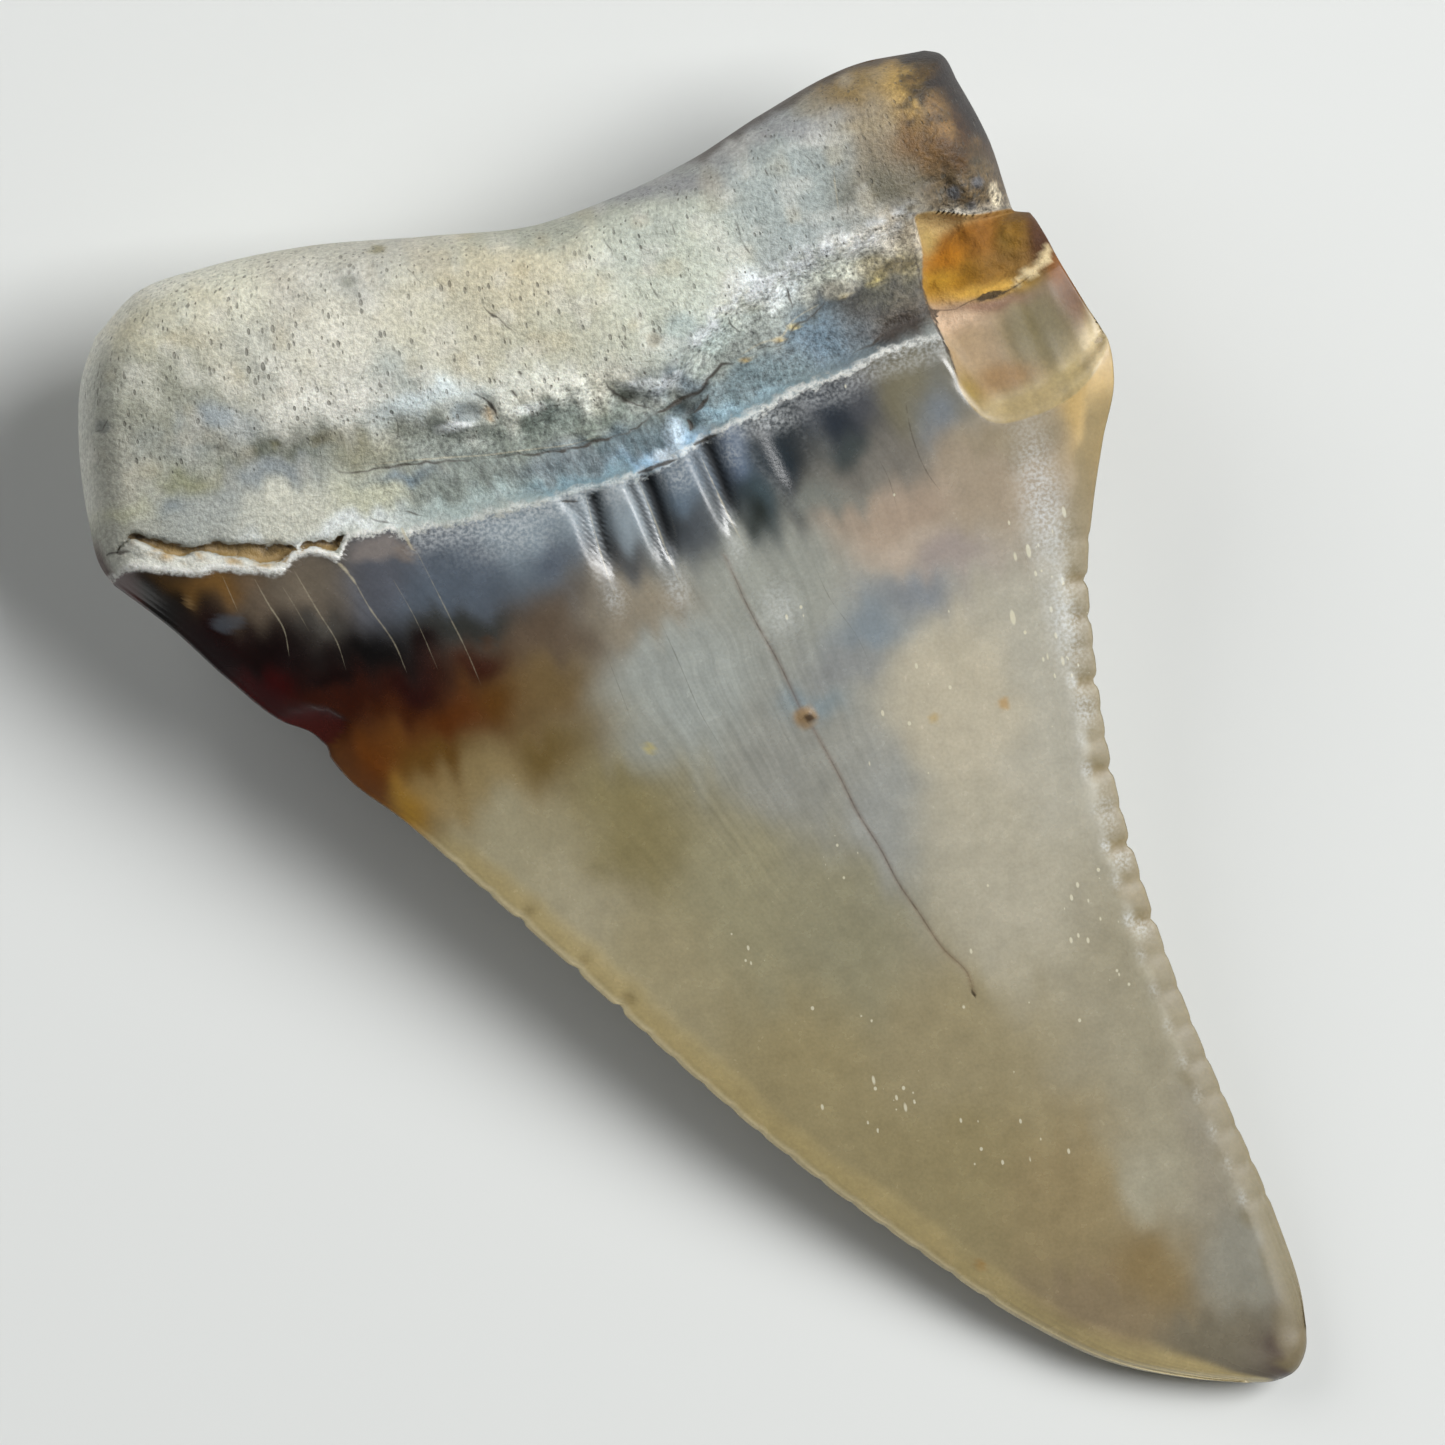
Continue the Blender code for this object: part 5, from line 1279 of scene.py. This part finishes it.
FROST_AND_HIGHLIGHT_SPOTS = [
    ((-0.72, 6.8), (0.3, 0.5), 0.6), ((1.3, 6.7), (0.35, 0.6), 0.6), ((3.4, 7.5), (0.3, 0.5), 0.4),
    ((13.3, 7.0), (0.6, 2.2), 1.0), ((13.3, 3.4), (0.5, 1.6), 0.9), ((13.4, 0.5), (0.35, 0.6), 0.8),
    ((13.5, -3.0), (0.3, 0.8), 0.5), ((13.7, -4.6), (0.3, 0.3), 0.8), ((13.9, -6.9), (0.3, 0.3), 0.7),
    ((-3.6, 9.6), (1.6, 0.8), 0.7), ((4.4, 5.4), (0.6, 0.8), 0.45),
    ((2.0, 10.2), (0.6, 0.5), 0.7), ((3.8, 10.6), (0.35, 0.5), 0.7), ((7.4, 11.9), (0.8, 0.4), 0.5),
    ((9.4, 12.4), (1.0, 0.3), 0.5), ((5.3, 11.45), (0.9, 0.4), 0.9), ((-0.1, 9.9), (0.3, 0.5), 0.3),
]
FROST_AND_HIGHLIGHT_SPOTS += [((place[0] - 0.42, place[1] + 0.12), (0.16, 0.26), min(1.0, 8.0 * notch[1]))
                for place, notch in zip(right_scoops, RIGHT_NOTCHES)]

frost_and_highlight = (0.55 + 0.3 * smooth(1.0, -1.0, x)) * smooth(-1.0, -0.1, above_enamel) * smooth(-7.2, -6.2, x)
for knots, strength in CREST_HIGHLIGHTS:
    close, off, away, share = track(knots, 0.8)
    crest = strength * np.sin(np.pi * share) ** 0.5 * bell(off, 0.12)
    frost_and_highlight[close] = np.maximum(frost_and_highlight[close], crest)
frost_and_highlight = np.maximum(frost_and_highlight, spots(FROST_AND_HIGHLIGHT_SPOTS)) * smooth(0.7, 0.2, groove_stain_and_shade)
FLECK_SPOTS = [
    ((-3.4, 1.6), (0.4, 0.35), 0.9), ((4.4, 5.5), (0.6, 0.8), 0.7), ((4.6, -2.5), (0.7, 0.8), 0.8),
    ((5.2, -10.8), (0.7, 0.9), 0.9), ((1.4, -5.2), (0.7, 0.5), 0.7), ((12.2, -6.0), (0.7, 1.0), 0.8),
    ((8.0, -13.0), (0.9, 0.6), 0.8), ((12.8, 4.0), (0.8, 3.0), 0.6), ((13.1, -8.2), (0.4, 0.5), 0.7),
    ((9.0, 2.0), (2.5, 3.0), 0.05), ((5.0, -7.0), (4.0, 6.0), 0.04), ((5.6, -11.8), (0.4, 0.4), 0.9),
]
flecks = spots(FLECK_SPOTS) * (0.6 + 0.5 * grain(x, y, 1.0, 92))
striated = mound(x, y, (2.6, 2.0), (4.2, 6.0)) + 0.6 * mound(x, y, (9.4, 10.0), (1.6, 1.6))
striated = striated + 0.8 * mound(x, y, (-9.0, 7.5), (4.5, 2.5)) + 0.5 * mound(x, y, (6.5, 9.0), (2.5, 2.0))
contrast = 1.3 + 1.6 * crumbly + 1.4 * broken + 1.5 * lip_rough + 0.8 * corner
pore_scale = level([(-17.0, 1.1), (-9.0, 1.15), (-2.0, 1.0), (6.0, 0.85), (10.0, 0.9)], x)
pore_scale = pore_scale * (1 - 0.75 * in_neck) + 0.7 * broken + 0.2 * lip_rough
pore_scale = pore_scale * smooth(0.55, 0.95, neck) * (1 + 0.25 * ripple(x, y, 2.5, 94))
# The white line on the enamel's border: torn and bright on the left, icy in the middle, then frosted.
EDGE_WHITE = [(-17.0, 0.5), (-16.2, 0.9), (-12.0, 1.0), (-8.0, 1.0), (-7.2, 1.0), (-6.6, 0.8),
              (-6.0, 0.6), (-3.0, 0.55), (0.0, 0.5), (2.5, 0.7), (5.0, 0.8), (9.5, 0.9), (11.0, 0.7),
              (13.0, 0.4), (17.0, 0.3)]
edge_white = level(EDGE_WHITE, x)
print("frost on", int((frost_and_highlight > 0.3).sum()), "points")

# %% [markdown]
# ## The tongue side
#
# What cannot be seen from the lip side is worked out from it. The same iron stained both faces of the
# crown, so the enamel keeps its stains. The root on this side is twice as tall, and takes the clean
# upper half of the lip side's root, drawn out to its own height.

# %% Tongue colours
TONGUE_ROOT_LOW = 14.8      # height on the lip side whose colours are used at the tongue side's base
TONGUE_SHARE = 0.42         # how much of the lip side's height one millimetre here takes
reach_up = TONGUE_ROOT_LOW + above_tongue_base * TONGUE_SHARE
root_tongue = layered(stained(ROOT_STAINS, bent_x, reach_up + (bent_y - y)), [
    ("blue-grey clouds", BLUE_GREY, 0.4 * smooth(0.25, 0.9, ripple(x, y, 2.6, 95))),
    ("dull belt above the enamel", "8F8A76", 0.6 * belt),
    ("mud in the openings", "3A382C", 0.8 * smooth(0.3, 0.9, tongue_pit_stain)),
    ("brown top edge", EDGE_BROWN, 0.85 * top_edge * smooth(3.0, 11.0, x)),
])
print("tongue side's root starts at", round(float(level(TONGUE_BASE_LINE, 0.0)), 1), "mm")

# %% Hand the measurements to the mesh
def keep(name, lip_values, tongue_values):
    """Stores one number on every point: the lip sheet's values, then those of the tongue sheet's own."""
    values = np.concatenate([np.ravel(lip_values), np.broadcast_to(tongue_values, x.shape)[inside]])
    mesh.attributes.new(name, "FLOAT", "POINT").data.foreach_set("value", values.astype(np.float32))


def keep_colour(name, lip_colours, tongue_colours):
    """Stores one colour on every point, in the same order."""
    values = np.ones((len(mesh.vertices), 4), np.float32)
    values[:, :3] = np.concatenate([lip_colours.reshape(-1, 3), tongue_colours[inside]])
    mesh.attributes.new(name, "FLOAT_COLOR", "POINT").data.foreach_set("color", values.ravel())


CROWN_WIDTH = 30.0          # millimetres that the columns stand for, at the base as at the tip

keep_colour("enamel", enamel_lip, enamel)
keep_colour("root", root_lip, root_tongue)
keep_colour("scar", scar, scar)
across_mm = (column - 0.5) * CROWN_WIDTH
keep("across", across_mm, across_mm)
keep("above_enamel", above_enamel, above_tongue_base)
keep("edge_white", edge_white, 0.0)
keep("wrinkled", wrinkled, 0.4 * belt)
keep("crevice", crevice, -1.0)
keep("along_crevice", along_crevice, 0.0)
keep("crevice_depth", np.clip(upper_gap / 0.4, 0, 1), 0.0)
keep("in_spall", in_spall, -2.0)
keep("frost_and_highlight", frost_and_highlight, 0.3 * smooth(-0.8, -0.1, above_tongue_base))
keep("flecks", flecks, flecks)
keep("striated", striated, 0.4)
keep("contrast", contrast, 0.9)
keep("pore_scale", pore_scale, smooth(0.3, 1.5, above_tongue_base))
keep("dark_gap", dark_gap, 9.0)
keep("dark_strength", dark_strength, 0.0)
keep("pale_gap", pale_gap, 9.0)
keep("pale_strength", pale_strength, 0.0)
bare = np.maximum(smooth(-0.06, 0.06, above_enamel), smooth(0.0, 0.1, in_spall) * spall_above)
keep("bare", bare, smooth(-0.06, 0.06, above_tongue_base))
worn_edge = smooth(-0.2, 0.4, q) * smooth(1.4, 0.7, inset) * (1 - bare)
matt_fold = 2.4 * smooth(0.25, 0.6, groove_stain_and_shade) + 0.8 * smooth(0.05, 0.25, frost_and_highlight) * (above_enamel < -0.3)
matt_scar = smooth(0.0, 0.2, in_spall) * (1 + smooth(13.0, 12.2, x))
keep("worn", np.maximum(np.maximum(matt_scar, worn_edge), matt_fold), 0.0)
print(len(mesh.attributes), "attributes on the mesh")

# %% [markdown]
# ## How the material is built
#
# The whole tooth is one material, because root and enamel are one body and their border is ragged. A
# Principled BSDF gives the surface. What feeds it is a net of nodes, and since most of them are small
# sums, one helper adds a node, sets it and links it in a single line.

# %% One helper for nodes
material = bpy.data.materials.new("fossil enamel and dentine")
material.use_nodes = True
tree = material.node_tree
shader = tree.nodes["Principled BSDF"]


def put(kind, *values, out=None, **settings):
    """Adds one node: settings are its own choices, values go to its inputs in order and None leaves one
    as it is. Returns the output named by out, or the first."""
    node = tree.nodes.new("ShaderNode" + kind)
    for name, value in settings.items():
        setattr(node, name, value)
    for socket, value in zip([socket for socket in node.inputs if socket.enabled], values):
        if isinstance(value, bpy.types.NodeSocket):
            tree.links.new(value, socket)
        elif value is not None:
            socket.default_value = value
    return node.outputs[out] if out else next(socket for socket in node.outputs if socket.enabled)


def sheet_value(name):
    """A measurement that the mesh carries."""
    return put("Attribute", attribute_name=name, out="Fac")


def sheet_colour(name):
    """A colour that the mesh carries."""
    return put("Attribute", attribute_name=name, out="Color")


def mix(share, below, above):
    """One colour laid over another. A hex colour may stand for either."""
    below, above = [linear(c) + (1.0,) if isinstance(c, str) else c for c in (below, above)]
    return put("Mix", share, below, above, data_type="RGBA")


# Object coordinates, in millimetres
place = put("VectorMath", put("TexCoord", out="Object"), 1000.0, operation="SCALE")
place_y = put("SeparateXYZ", place, out="Y")
along_grain = put("CombineXYZ", sheet_value("across"), place_y, 0.0)
border_mm, frost_and_highlight_level = sheet_value("above_enamel"), sheet_value("frost_and_highlight")
print("place on the tooth in mm, and", len(tree.nodes), "nodes so far")

# %% [markdown]
# ## Shared noises
#
# Three grain sizes turn up all over the tooth: crumbs of a third of a millimetre, clouds of about one
# millimetre, and a sparkle near a tenth, as fine as the picture can show. Each is one noise, used by
# every finish that needs it, which keeps the render quick.

# %% Noises
CRUMB_SIZE = 0.32
CLOUD_SIZE = 0.9
SPARKLE_SIZE = 0.11         # real crystals are finer, drawn at 0.11 mm so that they show

crumbs = put("TexNoise", place, 1 / CRUMB_SIZE, 3.0, 0.65)
clouds = put("TexNoise", place, 1 / CLOUD_SIZE, 3.0, 0.6)
sparkle = put("TexNoise", place, 1 / SPARKLE_SIZE, 1.0, 0.5)
crumb_factor = put("MapRange", crumbs, 0.3, 0.7, 0.55, 1.45)
print("noises of", CRUMB_SIZE, CLOUD_SIZE, "and", SPARKLE_SIZE, "mm")

# %% [markdown]
# ## Enamel
#
# Enamel is a dense mineral, close to glass in the way that it bends light, with an index of 1.62. It
# grew in fine columns and the tooth was drawn in long strokes, so its colour is faintly streaked from
# base to tip. River sand has left small bright nicks, and ground the raised parts to a frost. On the
# crests, beside the scoops and along the right bevel that frost also carries a painted highlight.

# %% Enamel finish
STREAK_WIDTH = 0.28         # millimetres
STREAK_LENGTH = 8.0
FLECK_SPACING = 0.3         # real flecks are about 0.04 mm wide, drawn near 0.06 mm so that they show
NICK_SPACING = 0.45
NICK_TURN = math.radians(38)
# Two layers of flecks and one of long nicks: spacing, turn and stretch along the grain.
FLECK_LAYERS = ((FLECK_SPACING, 0.3, 0.8), (0.9 * FLECK_SPACING, 1.2, 0.5), (NICK_SPACING, NICK_TURN, 0.35))
FLECK_CREAM = "D2CDB4"
FROST_AND_HIGHLIGHT_WHITE = "CED2D2"

enamel_tone = sheet_colour("enamel")
streak_place = put("VectorMath", along_grain, (1 / STREAK_WIDTH, 1 / STREAK_LENGTH, 0), operation="MULTIPLY")
streaks = put("TexNoise", streak_place, 1.0, 3.0, 0.6, noise_dimensions="2D")
streak_part = put("MapRange", streaks, 0.3, 0.7, -0.13, 0.11)
streak_shade = put("Math", streak_part, sheet_value("striated"), 1.0, operation="MULTIPLY_ADD")
cloud_shade = put("MapRange", clouds, 0.3, 0.7, 0.92, 1.08)
shade = put("Math", streak_shade, cloud_shade, operation="MULTIPLY")
grit_shade = put("MapRange", sparkle, 0.3, 0.7, 0.95, 1.05)
shade = put("Math", shade, grit_shade, operation="MULTIPLY")
enamel_tone = put("VectorMath", enamel_tone, shade, operation="SCALE")

rarity = put("MapRange", sheet_value("flecks"), 0.0, 1.0, 0.999, 0.4)
for spacing, turn, stretch in FLECK_LAYERS:
    turned = put("VectorRotate", place, None, None, turn, rotation_type="Z_AXIS")
    cells = put("VectorMath", turned, (1 / spacing, stretch / spacing, 0), operation="MULTIPLY")
    distance = put("TexVoronoi", cells, 1.0, voronoi_dimensions="2D")
    draw = put("SeparateXYZ", distance.node.outputs["Color"])
    fleck_size = put("MapRange", draw, rarity, 1.0, 0.0, 0.22)
    fleck_gap = put("Math", fleck_size, distance, operation="SUBTRACT")
    enamel_tone = mix(put("MapRange", fleck_gap, 0.0, 0.07, 0.0, 0.8), enamel_tone, FLECK_CREAM)

# Frost: a ground white sheen, and on the crests, beside the scoops and on the right bevel a painted
# highlight.
frost_grain = put("MapRange", sparkle, 0.36, 0.7, 0.1, 0.75)
frost_and_highlight_cover = put("Math", frost_and_highlight_level, frost_grain, operation="MULTIPLY")
enamel_tone = mix(frost_and_highlight_cover, enamel_tone, FROST_AND_HIGHLIGHT_WHITE)


def drawn_lines(gap_name, strength_name):
    """Cover of thin lines: their strength, made ragged by crumbs, less the distance in units of reach."""
    gap = put("Math", sheet_value(gap_name), operation="ABSOLUTE")
    gap = put("Math", gap, -1 / LINE_REACH, operation="MULTIPLY")
    ragged = put("Math", sheet_value(strength_name), crumb_factor, gap, operation="MULTIPLY_ADD")
    return put("MapRange", ragged, 0.0, 0.4)


pale_cover = put("Math", drawn_lines("pale_gap", "pale_strength"), 0.7, operation="MULTIPLY")
print("streaks", STREAK_WIDTH, "mm wide, flecks about", FLECK_SPACING, "mm apart")

# %% [markdown]
# ## Dentine of the root
#
# The root is dentine, a bone-like tissue full of fine canals. Each canal ends in a pore, about 0.1 mm
# wide and drawn out along the tooth, and dark mud fills most of them. Between pores the surface is
# mottled by grains of about 0.2 mm. Voronoi cells stretched along the grain give the pores, and a
# random number for each cell decides how large its pore is, or that it has none.

# %% Dentine finish
PORE_SPACING = 0.15
PORE_STRETCH = 0.5
MOTTLE_SIZE = 0.16
PORE_MUD = "55534A"

root_tone = sheet_colour("root")
pore_scales = (1 / PORE_SPACING, PORE_STRETCH / PORE_SPACING, 0)
pore_place = put("VectorMath", along_grain, pore_scales, operation="MULTIPLY")
pore_cells = put("VectorMath", place, (0.0, 0.0, 0.9 / PORE_SPACING), pore_place, operation="MULTIPLY_ADD")
pore_distance = put("TexVoronoi", pore_cells, 1.0)
pore_draw = put("SeparateXYZ", pore_distance.node.outputs["Color"])
pore_size = put("MapRange", pore_draw, 0.35, 1.0, 0.0, 0.38)
pore_size = put("Math", pore_size, sheet_value("pore_scale"), operation="MULTIPLY")
pore_gap = put("Math", pore_distance, pore_size, operation="SUBTRACT")
pore = put("MapRange", pore_gap, 0.08, -0.1, interpolation_type="SMOOTHSTEP")
pore_tone = put("MapRange", pore_draw.node.outputs["Y"], 0.0, 1.0, 0.15, 0.65)
pore = put("Math", pore, pore_tone, operation="MULTIPLY")

mottle = put("TexNoise", place, 1 / MOTTLE_SIZE, 3.0, 0.65)
mottle_part = put("Math", mottle, 0.5, operation="SUBTRACT")
mottle_shade = put("Math", mottle_part, sheet_value("contrast"), 1.0, operation="MULTIPLY_ADD")
root_tone = put("VectorMath", root_tone, mottle_shade, operation="SCALE")
root_tone = mix(pore, root_tone, PORE_MUD)
print("pores about", PORE_SPACING, "mm apart")

# %% Neck finish
WRINKLE_WIDTH = 0.17
wrinkle_scales = (1 / WRINKLE_WIDTH, 0.3 / WRINKLE_WIDTH, 0)
wrinkle_place = put("VectorMath", along_grain, wrinkle_scales, operation="MULTIPLY")
wrinkle = put("TexNoise", wrinkle_place, 1.0, 2.0, 0.6, noise_dimensions="2D")
wrinkle_shade = put("MapRange", wrinkle, 0.32, 0.68, 0.68, 1.26)
wrinkled_tone = put("VectorMath", root_tone, wrinkle_shade, operation="SCALE")
root_tone = mix(sheet_value("wrinkled"), root_tone, wrinkled_tone)
print("wrinkles", WRINKLE_WIDTH, "mm wide")

# %% Border of root and enamel
BORDER_WANDER = 0.16        # millimetres to both sides
BORDER_WHITE = "D8D8D2"
PALE_LINE_CREAM = "BDB49A"

border_shift = put("MapRange", crumbs, 0.3, 0.7, -BORDER_WANDER, BORDER_WANDER)
calm = put("MapRange", sheet_value("along_crevice"), 0.0, 1.0, 1.0, 0.3)
border_mm = put("Math", border_shift, calm, border_mm, operation="MULTIPLY_ADD")
on_root = put("MapRange", border_mm, -0.05, 0.06, interpolation_type="SMOOTHSTEP")
colour = mix(on_root, enamel_tone, root_tone)
white_gap = put("Math", put("Math", border_mm, 0.1, operation="SUBTRACT"), operation="ABSOLUTE")
white_line = put("MapRange", white_gap, 0.2, 0.04, interpolation_type="SMOOTHSTEP")
white_line = put("Math", white_line, sheet_value("edge_white"), operation="MULTIPLY")
white_grain = put("MapRange", mottle, 0.4, 0.56, 0.35, 1.0)
white_line = put("Math", white_line, white_grain, operation="MULTIPLY")
colour = mix(white_line, colour, BORDER_WHITE)
# Pale lines: hair cracks and scratches, and on the fold crests a painted highlight.
colour = mix(pale_cover, colour, PALE_LINE_CREAM)
print("border wanders by", BORDER_WANDER, "mm")

# %% Lines and crevice
CREVICE_DARK = "3E2F16"
CREVICE_LIT = "8C7446"
LINE_BROWN = "30271C"

dark_cover = put("Math", drawn_lines("dark_gap", "dark_strength"), 0.88, operation="MULTIPLY")
crevice_rough = put("MapRange", crumbs, 0.3, 0.7, -0.06, 0.06)
crevice_mm = put("Math", sheet_value("crevice"), crevice_rough, operation="ADD")
crevice_cover = put("MapRange", crevice_mm, 0.0, 0.05)
crevice_cover = put("Math", crevice_cover, sheet_value("along_crevice"), operation="MULTIPLY")
# The crevice floor is painted dark brown just under its ragged upper lip, as shade, and lighter further
# down, as lit floor.
lit_floor = put("MapRange", put("Math", mottle, sheet_value("crevice_depth"), operation="ADD"), 0.5, 1.3)
crevice_light_and_shade = mix(lit_floor, CREVICE_DARK, CREVICE_LIT)
colour = mix(crevice_cover, colour, crevice_light_and_shade)
print("crevice with its brown floor")

# %% [markdown]
# ## The scar
#
# In the break one sees into the tooth. The upper part is dentine soaked amber by iron, the lower part
# is the inner side of the enamel cap, beige with faint upright lines, and its rim is clear enough to
# glow cream. A pale crust marks the line between the two.

# %% Scar finish
scar_shade = put("MapRange", mottle, 0.3, 0.7, 0.88, 1.12)
scar_tone = put("VectorMath", sheet_colour("scar"), scar_shade, operation="SCALE")
in_scar = put("MapRange", sheet_value("in_spall"), -0.03, 0.04)
colour = mix(in_scar, colour, scar_tone)
colour = mix(dark_cover, colour, LINE_BROWN)
print("scar laid on")

# %% [markdown]
# ## Gloss and fine relief
#
# Worn enamel is satin with a glassy glint on its curves: roughness near 0.25. Dentine is duller, near
# 0.6, and its pores are duller still. One bump node carries the relief that is finer than the mesh,
# with heights in millimetres.

# %% Surface
ENAMEL_ROUGHNESS = 0.25
DENTINE_ROUGHNESS = 0.6
SURFACE = {"IOR": 1.62, "Subsurface Weight": 0.08, "Subsurface Radius": (1.0, 0.7, 0.45),
           "Subsurface Scale": 0.4 * MM}

enamel_rough = put("MapRange", frost_and_highlight_level, 0.0, 1.0, ENAMEL_ROUGHNESS, ENAMEL_ROUGHNESS + 0.15)
rough = put("MapRange", sheet_value("bare"), 0.0, 1.0, enamel_rough, DENTINE_ROUGHNESS)
rough = put("Math", sheet_value("worn"), 0.22, rough, operation="MULTIPLY_ADD")
rough = put("Math", rough, put("MapRange", clouds, 0.3, 0.7, -0.03, 0.04), operation="ADD")

enamel_height = put("Math", sparkle, 0.003, operation="MULTIPLY")
root_height = put("Math", put("Math", mottle, 0.06, operation="MULTIPLY"),
                  put("Math", pore, 0.05, operation="MULTIPLY"), operation="SUBTRACT")
height = put("Mix", sheet_value("bare"), enamel_height, root_height)
normal = put("Bump", 1.0, MM, None, height)

for name, value in SURFACE.items():
    shader.inputs[name].default_value = value
for name, source in (("Base Color", colour), ("Roughness", rough), ("Normal", normal)):
    tree.links.new(source, shader.inputs[name])
mesh.materials.append(material)
print(len(tree.nodes), "nodes in the material")

# %% Tie the piece to the model
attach(tooth, "root")
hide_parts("tooth")

# %% [markdown]
# ## Floor, light and camera
#
# The tooth is photographed from straight above with a long lens, so that its outline is not
# distorted. A large soft lamp stands to the right, a little beyond the root, and leaves the shadow
# under the left edge. The sky is brighter low down beyond the tip, and dim overhead and behind the
# root, so that faces which mirror those parts of it keep their deep colours.

# %% Floor
CARD_GREY = "D6D8D6"
HALF_FLOOR = 2.0            # metres

floor_mesh = bpy.data.meshes.new("floor")
corners = np.array([(-1, -1, 0), (1, -1, 0), (1, 1, 0), (-1, 1, 0)]) * HALF_FLOOR
floor_mesh.from_pydata(corners, [], [(0, 1, 2, 3)])
floor_object = add_object("floor", floor_mesh)
paint = bpy.data.materials.new("pale matt card")
paint.use_nodes = True
card = paint.node_tree.nodes["Principled BSDF"]
card.inputs["Base Color"].default_value = linear(CARD_GREY) + (1.0,)
card.inputs["Roughness"].default_value = 0.8
floor_mesh.materials.append(paint)
print("floor", np.ptp(corners, axis=0)[:2], "m")

# %% Light
VIEW_TURN = math.radians(-11.07)


def lamp(name, toward, distance, size, watts):
    """A square soft lamp that looks at the tooth, toward is its direction in the picture's own axes."""
    right = np.array([math.cos(VIEW_TURN), math.sin(VIEW_TURN), 0])
    up = np.array([-math.sin(VIEW_TURN), math.cos(VIEW_TURN), 0])
    direction = right * toward[0] + up * toward[1] + np.array([0, 0, toward[2]])
    direction = direction / np.linalg.norm(direction)
    light = bpy.data.lights.new(name, "AREA")
    light.energy, light.size = watts, size
    lamp_object = add_object(name, light)
    lamp_object.location = direction * distance
    side = np.cross([0, 1, 0.01], direction)
    side = side / np.linalg.norm(side)
    top = np.cross(direction, side)
    lamp_object.rotation_euler = Matrix(np.array([side, top, direction]).T.tolist()).to_euler()


lamp("key", (0.85, 0.32, 1.0), 0.6, 0.34, 4.6)
lamp("fill", (-0.7, 0.55, 0.65), 0.7, 0.5, 1.8)

SKY_COLOUR = "F2F4F6"
SKY_DARK = 0.04
SKY_BRIGHT = 0.3
SKY_TOWARD = (0.25, -0.75, -0.62)   # the sky is brightest beyond the tip, near the horizon
world = bpy.data.worlds.new("sky")
world.use_nodes = True
sky = world.node_tree
background = sky.nodes["Background"]
background.inputs["Color"].default_value = linear(SKY_COLOUR) + (1.0,)
looking = sky.nodes.new("ShaderNodeTexCoord")
nearness = sky.nodes.new("ShaderNodeVectorMath")
nearness.operation = "DOT_PRODUCT"
nearness.inputs[1].default_value = SKY_TOWARD
brightness = sky.nodes.new("ShaderNodeMapRange")
for name, value in {"From Min": -0.25, "From Max": 0.8, "To Min": SKY_DARK, "To Max": SKY_BRIGHT}.items():
    brightness.inputs[name].default_value = value
sky.links.new(looking.outputs["Generated"], nearness.inputs[0])
sky.links.new(nearness.outputs["Value"], brightness.inputs["Value"])
sky.links.new(brightness.outputs["Result"], background.inputs["Strength"])
bpy.context.scene.world = world
bpy.context.scene.view_settings.view_transform = "Standard"
print("two lamps and a pale sky")

# %% Camera
PICTURE_WIDTH = 46.46       # millimetres across the picture at the tooth
PICTURE_CENTRE = (1.92, 2.29)
LENS = 250.0
SENSOR = 36.0
FACE_LEVEL = 6.0

camera_data = bpy.data.cameras.new("camera")
camera_data.lens = LENS
camera_data.sensor_width = SENSOR
camera_data.clip_start = 0.01
camera = add_object("camera", camera_data)
reach = PICTURE_WIDTH * LENS / SENSOR + FACE_LEVEL
camera.location = (PICTURE_CENTRE[0] * MM, PICTURE_CENTRE[1] * MM, reach * MM)
camera.rotation_euler = (0.0, 0.0, VIEW_TURN)
bpy.context.scene.camera = camera
print("camera", round(reach), "mm above the ground")
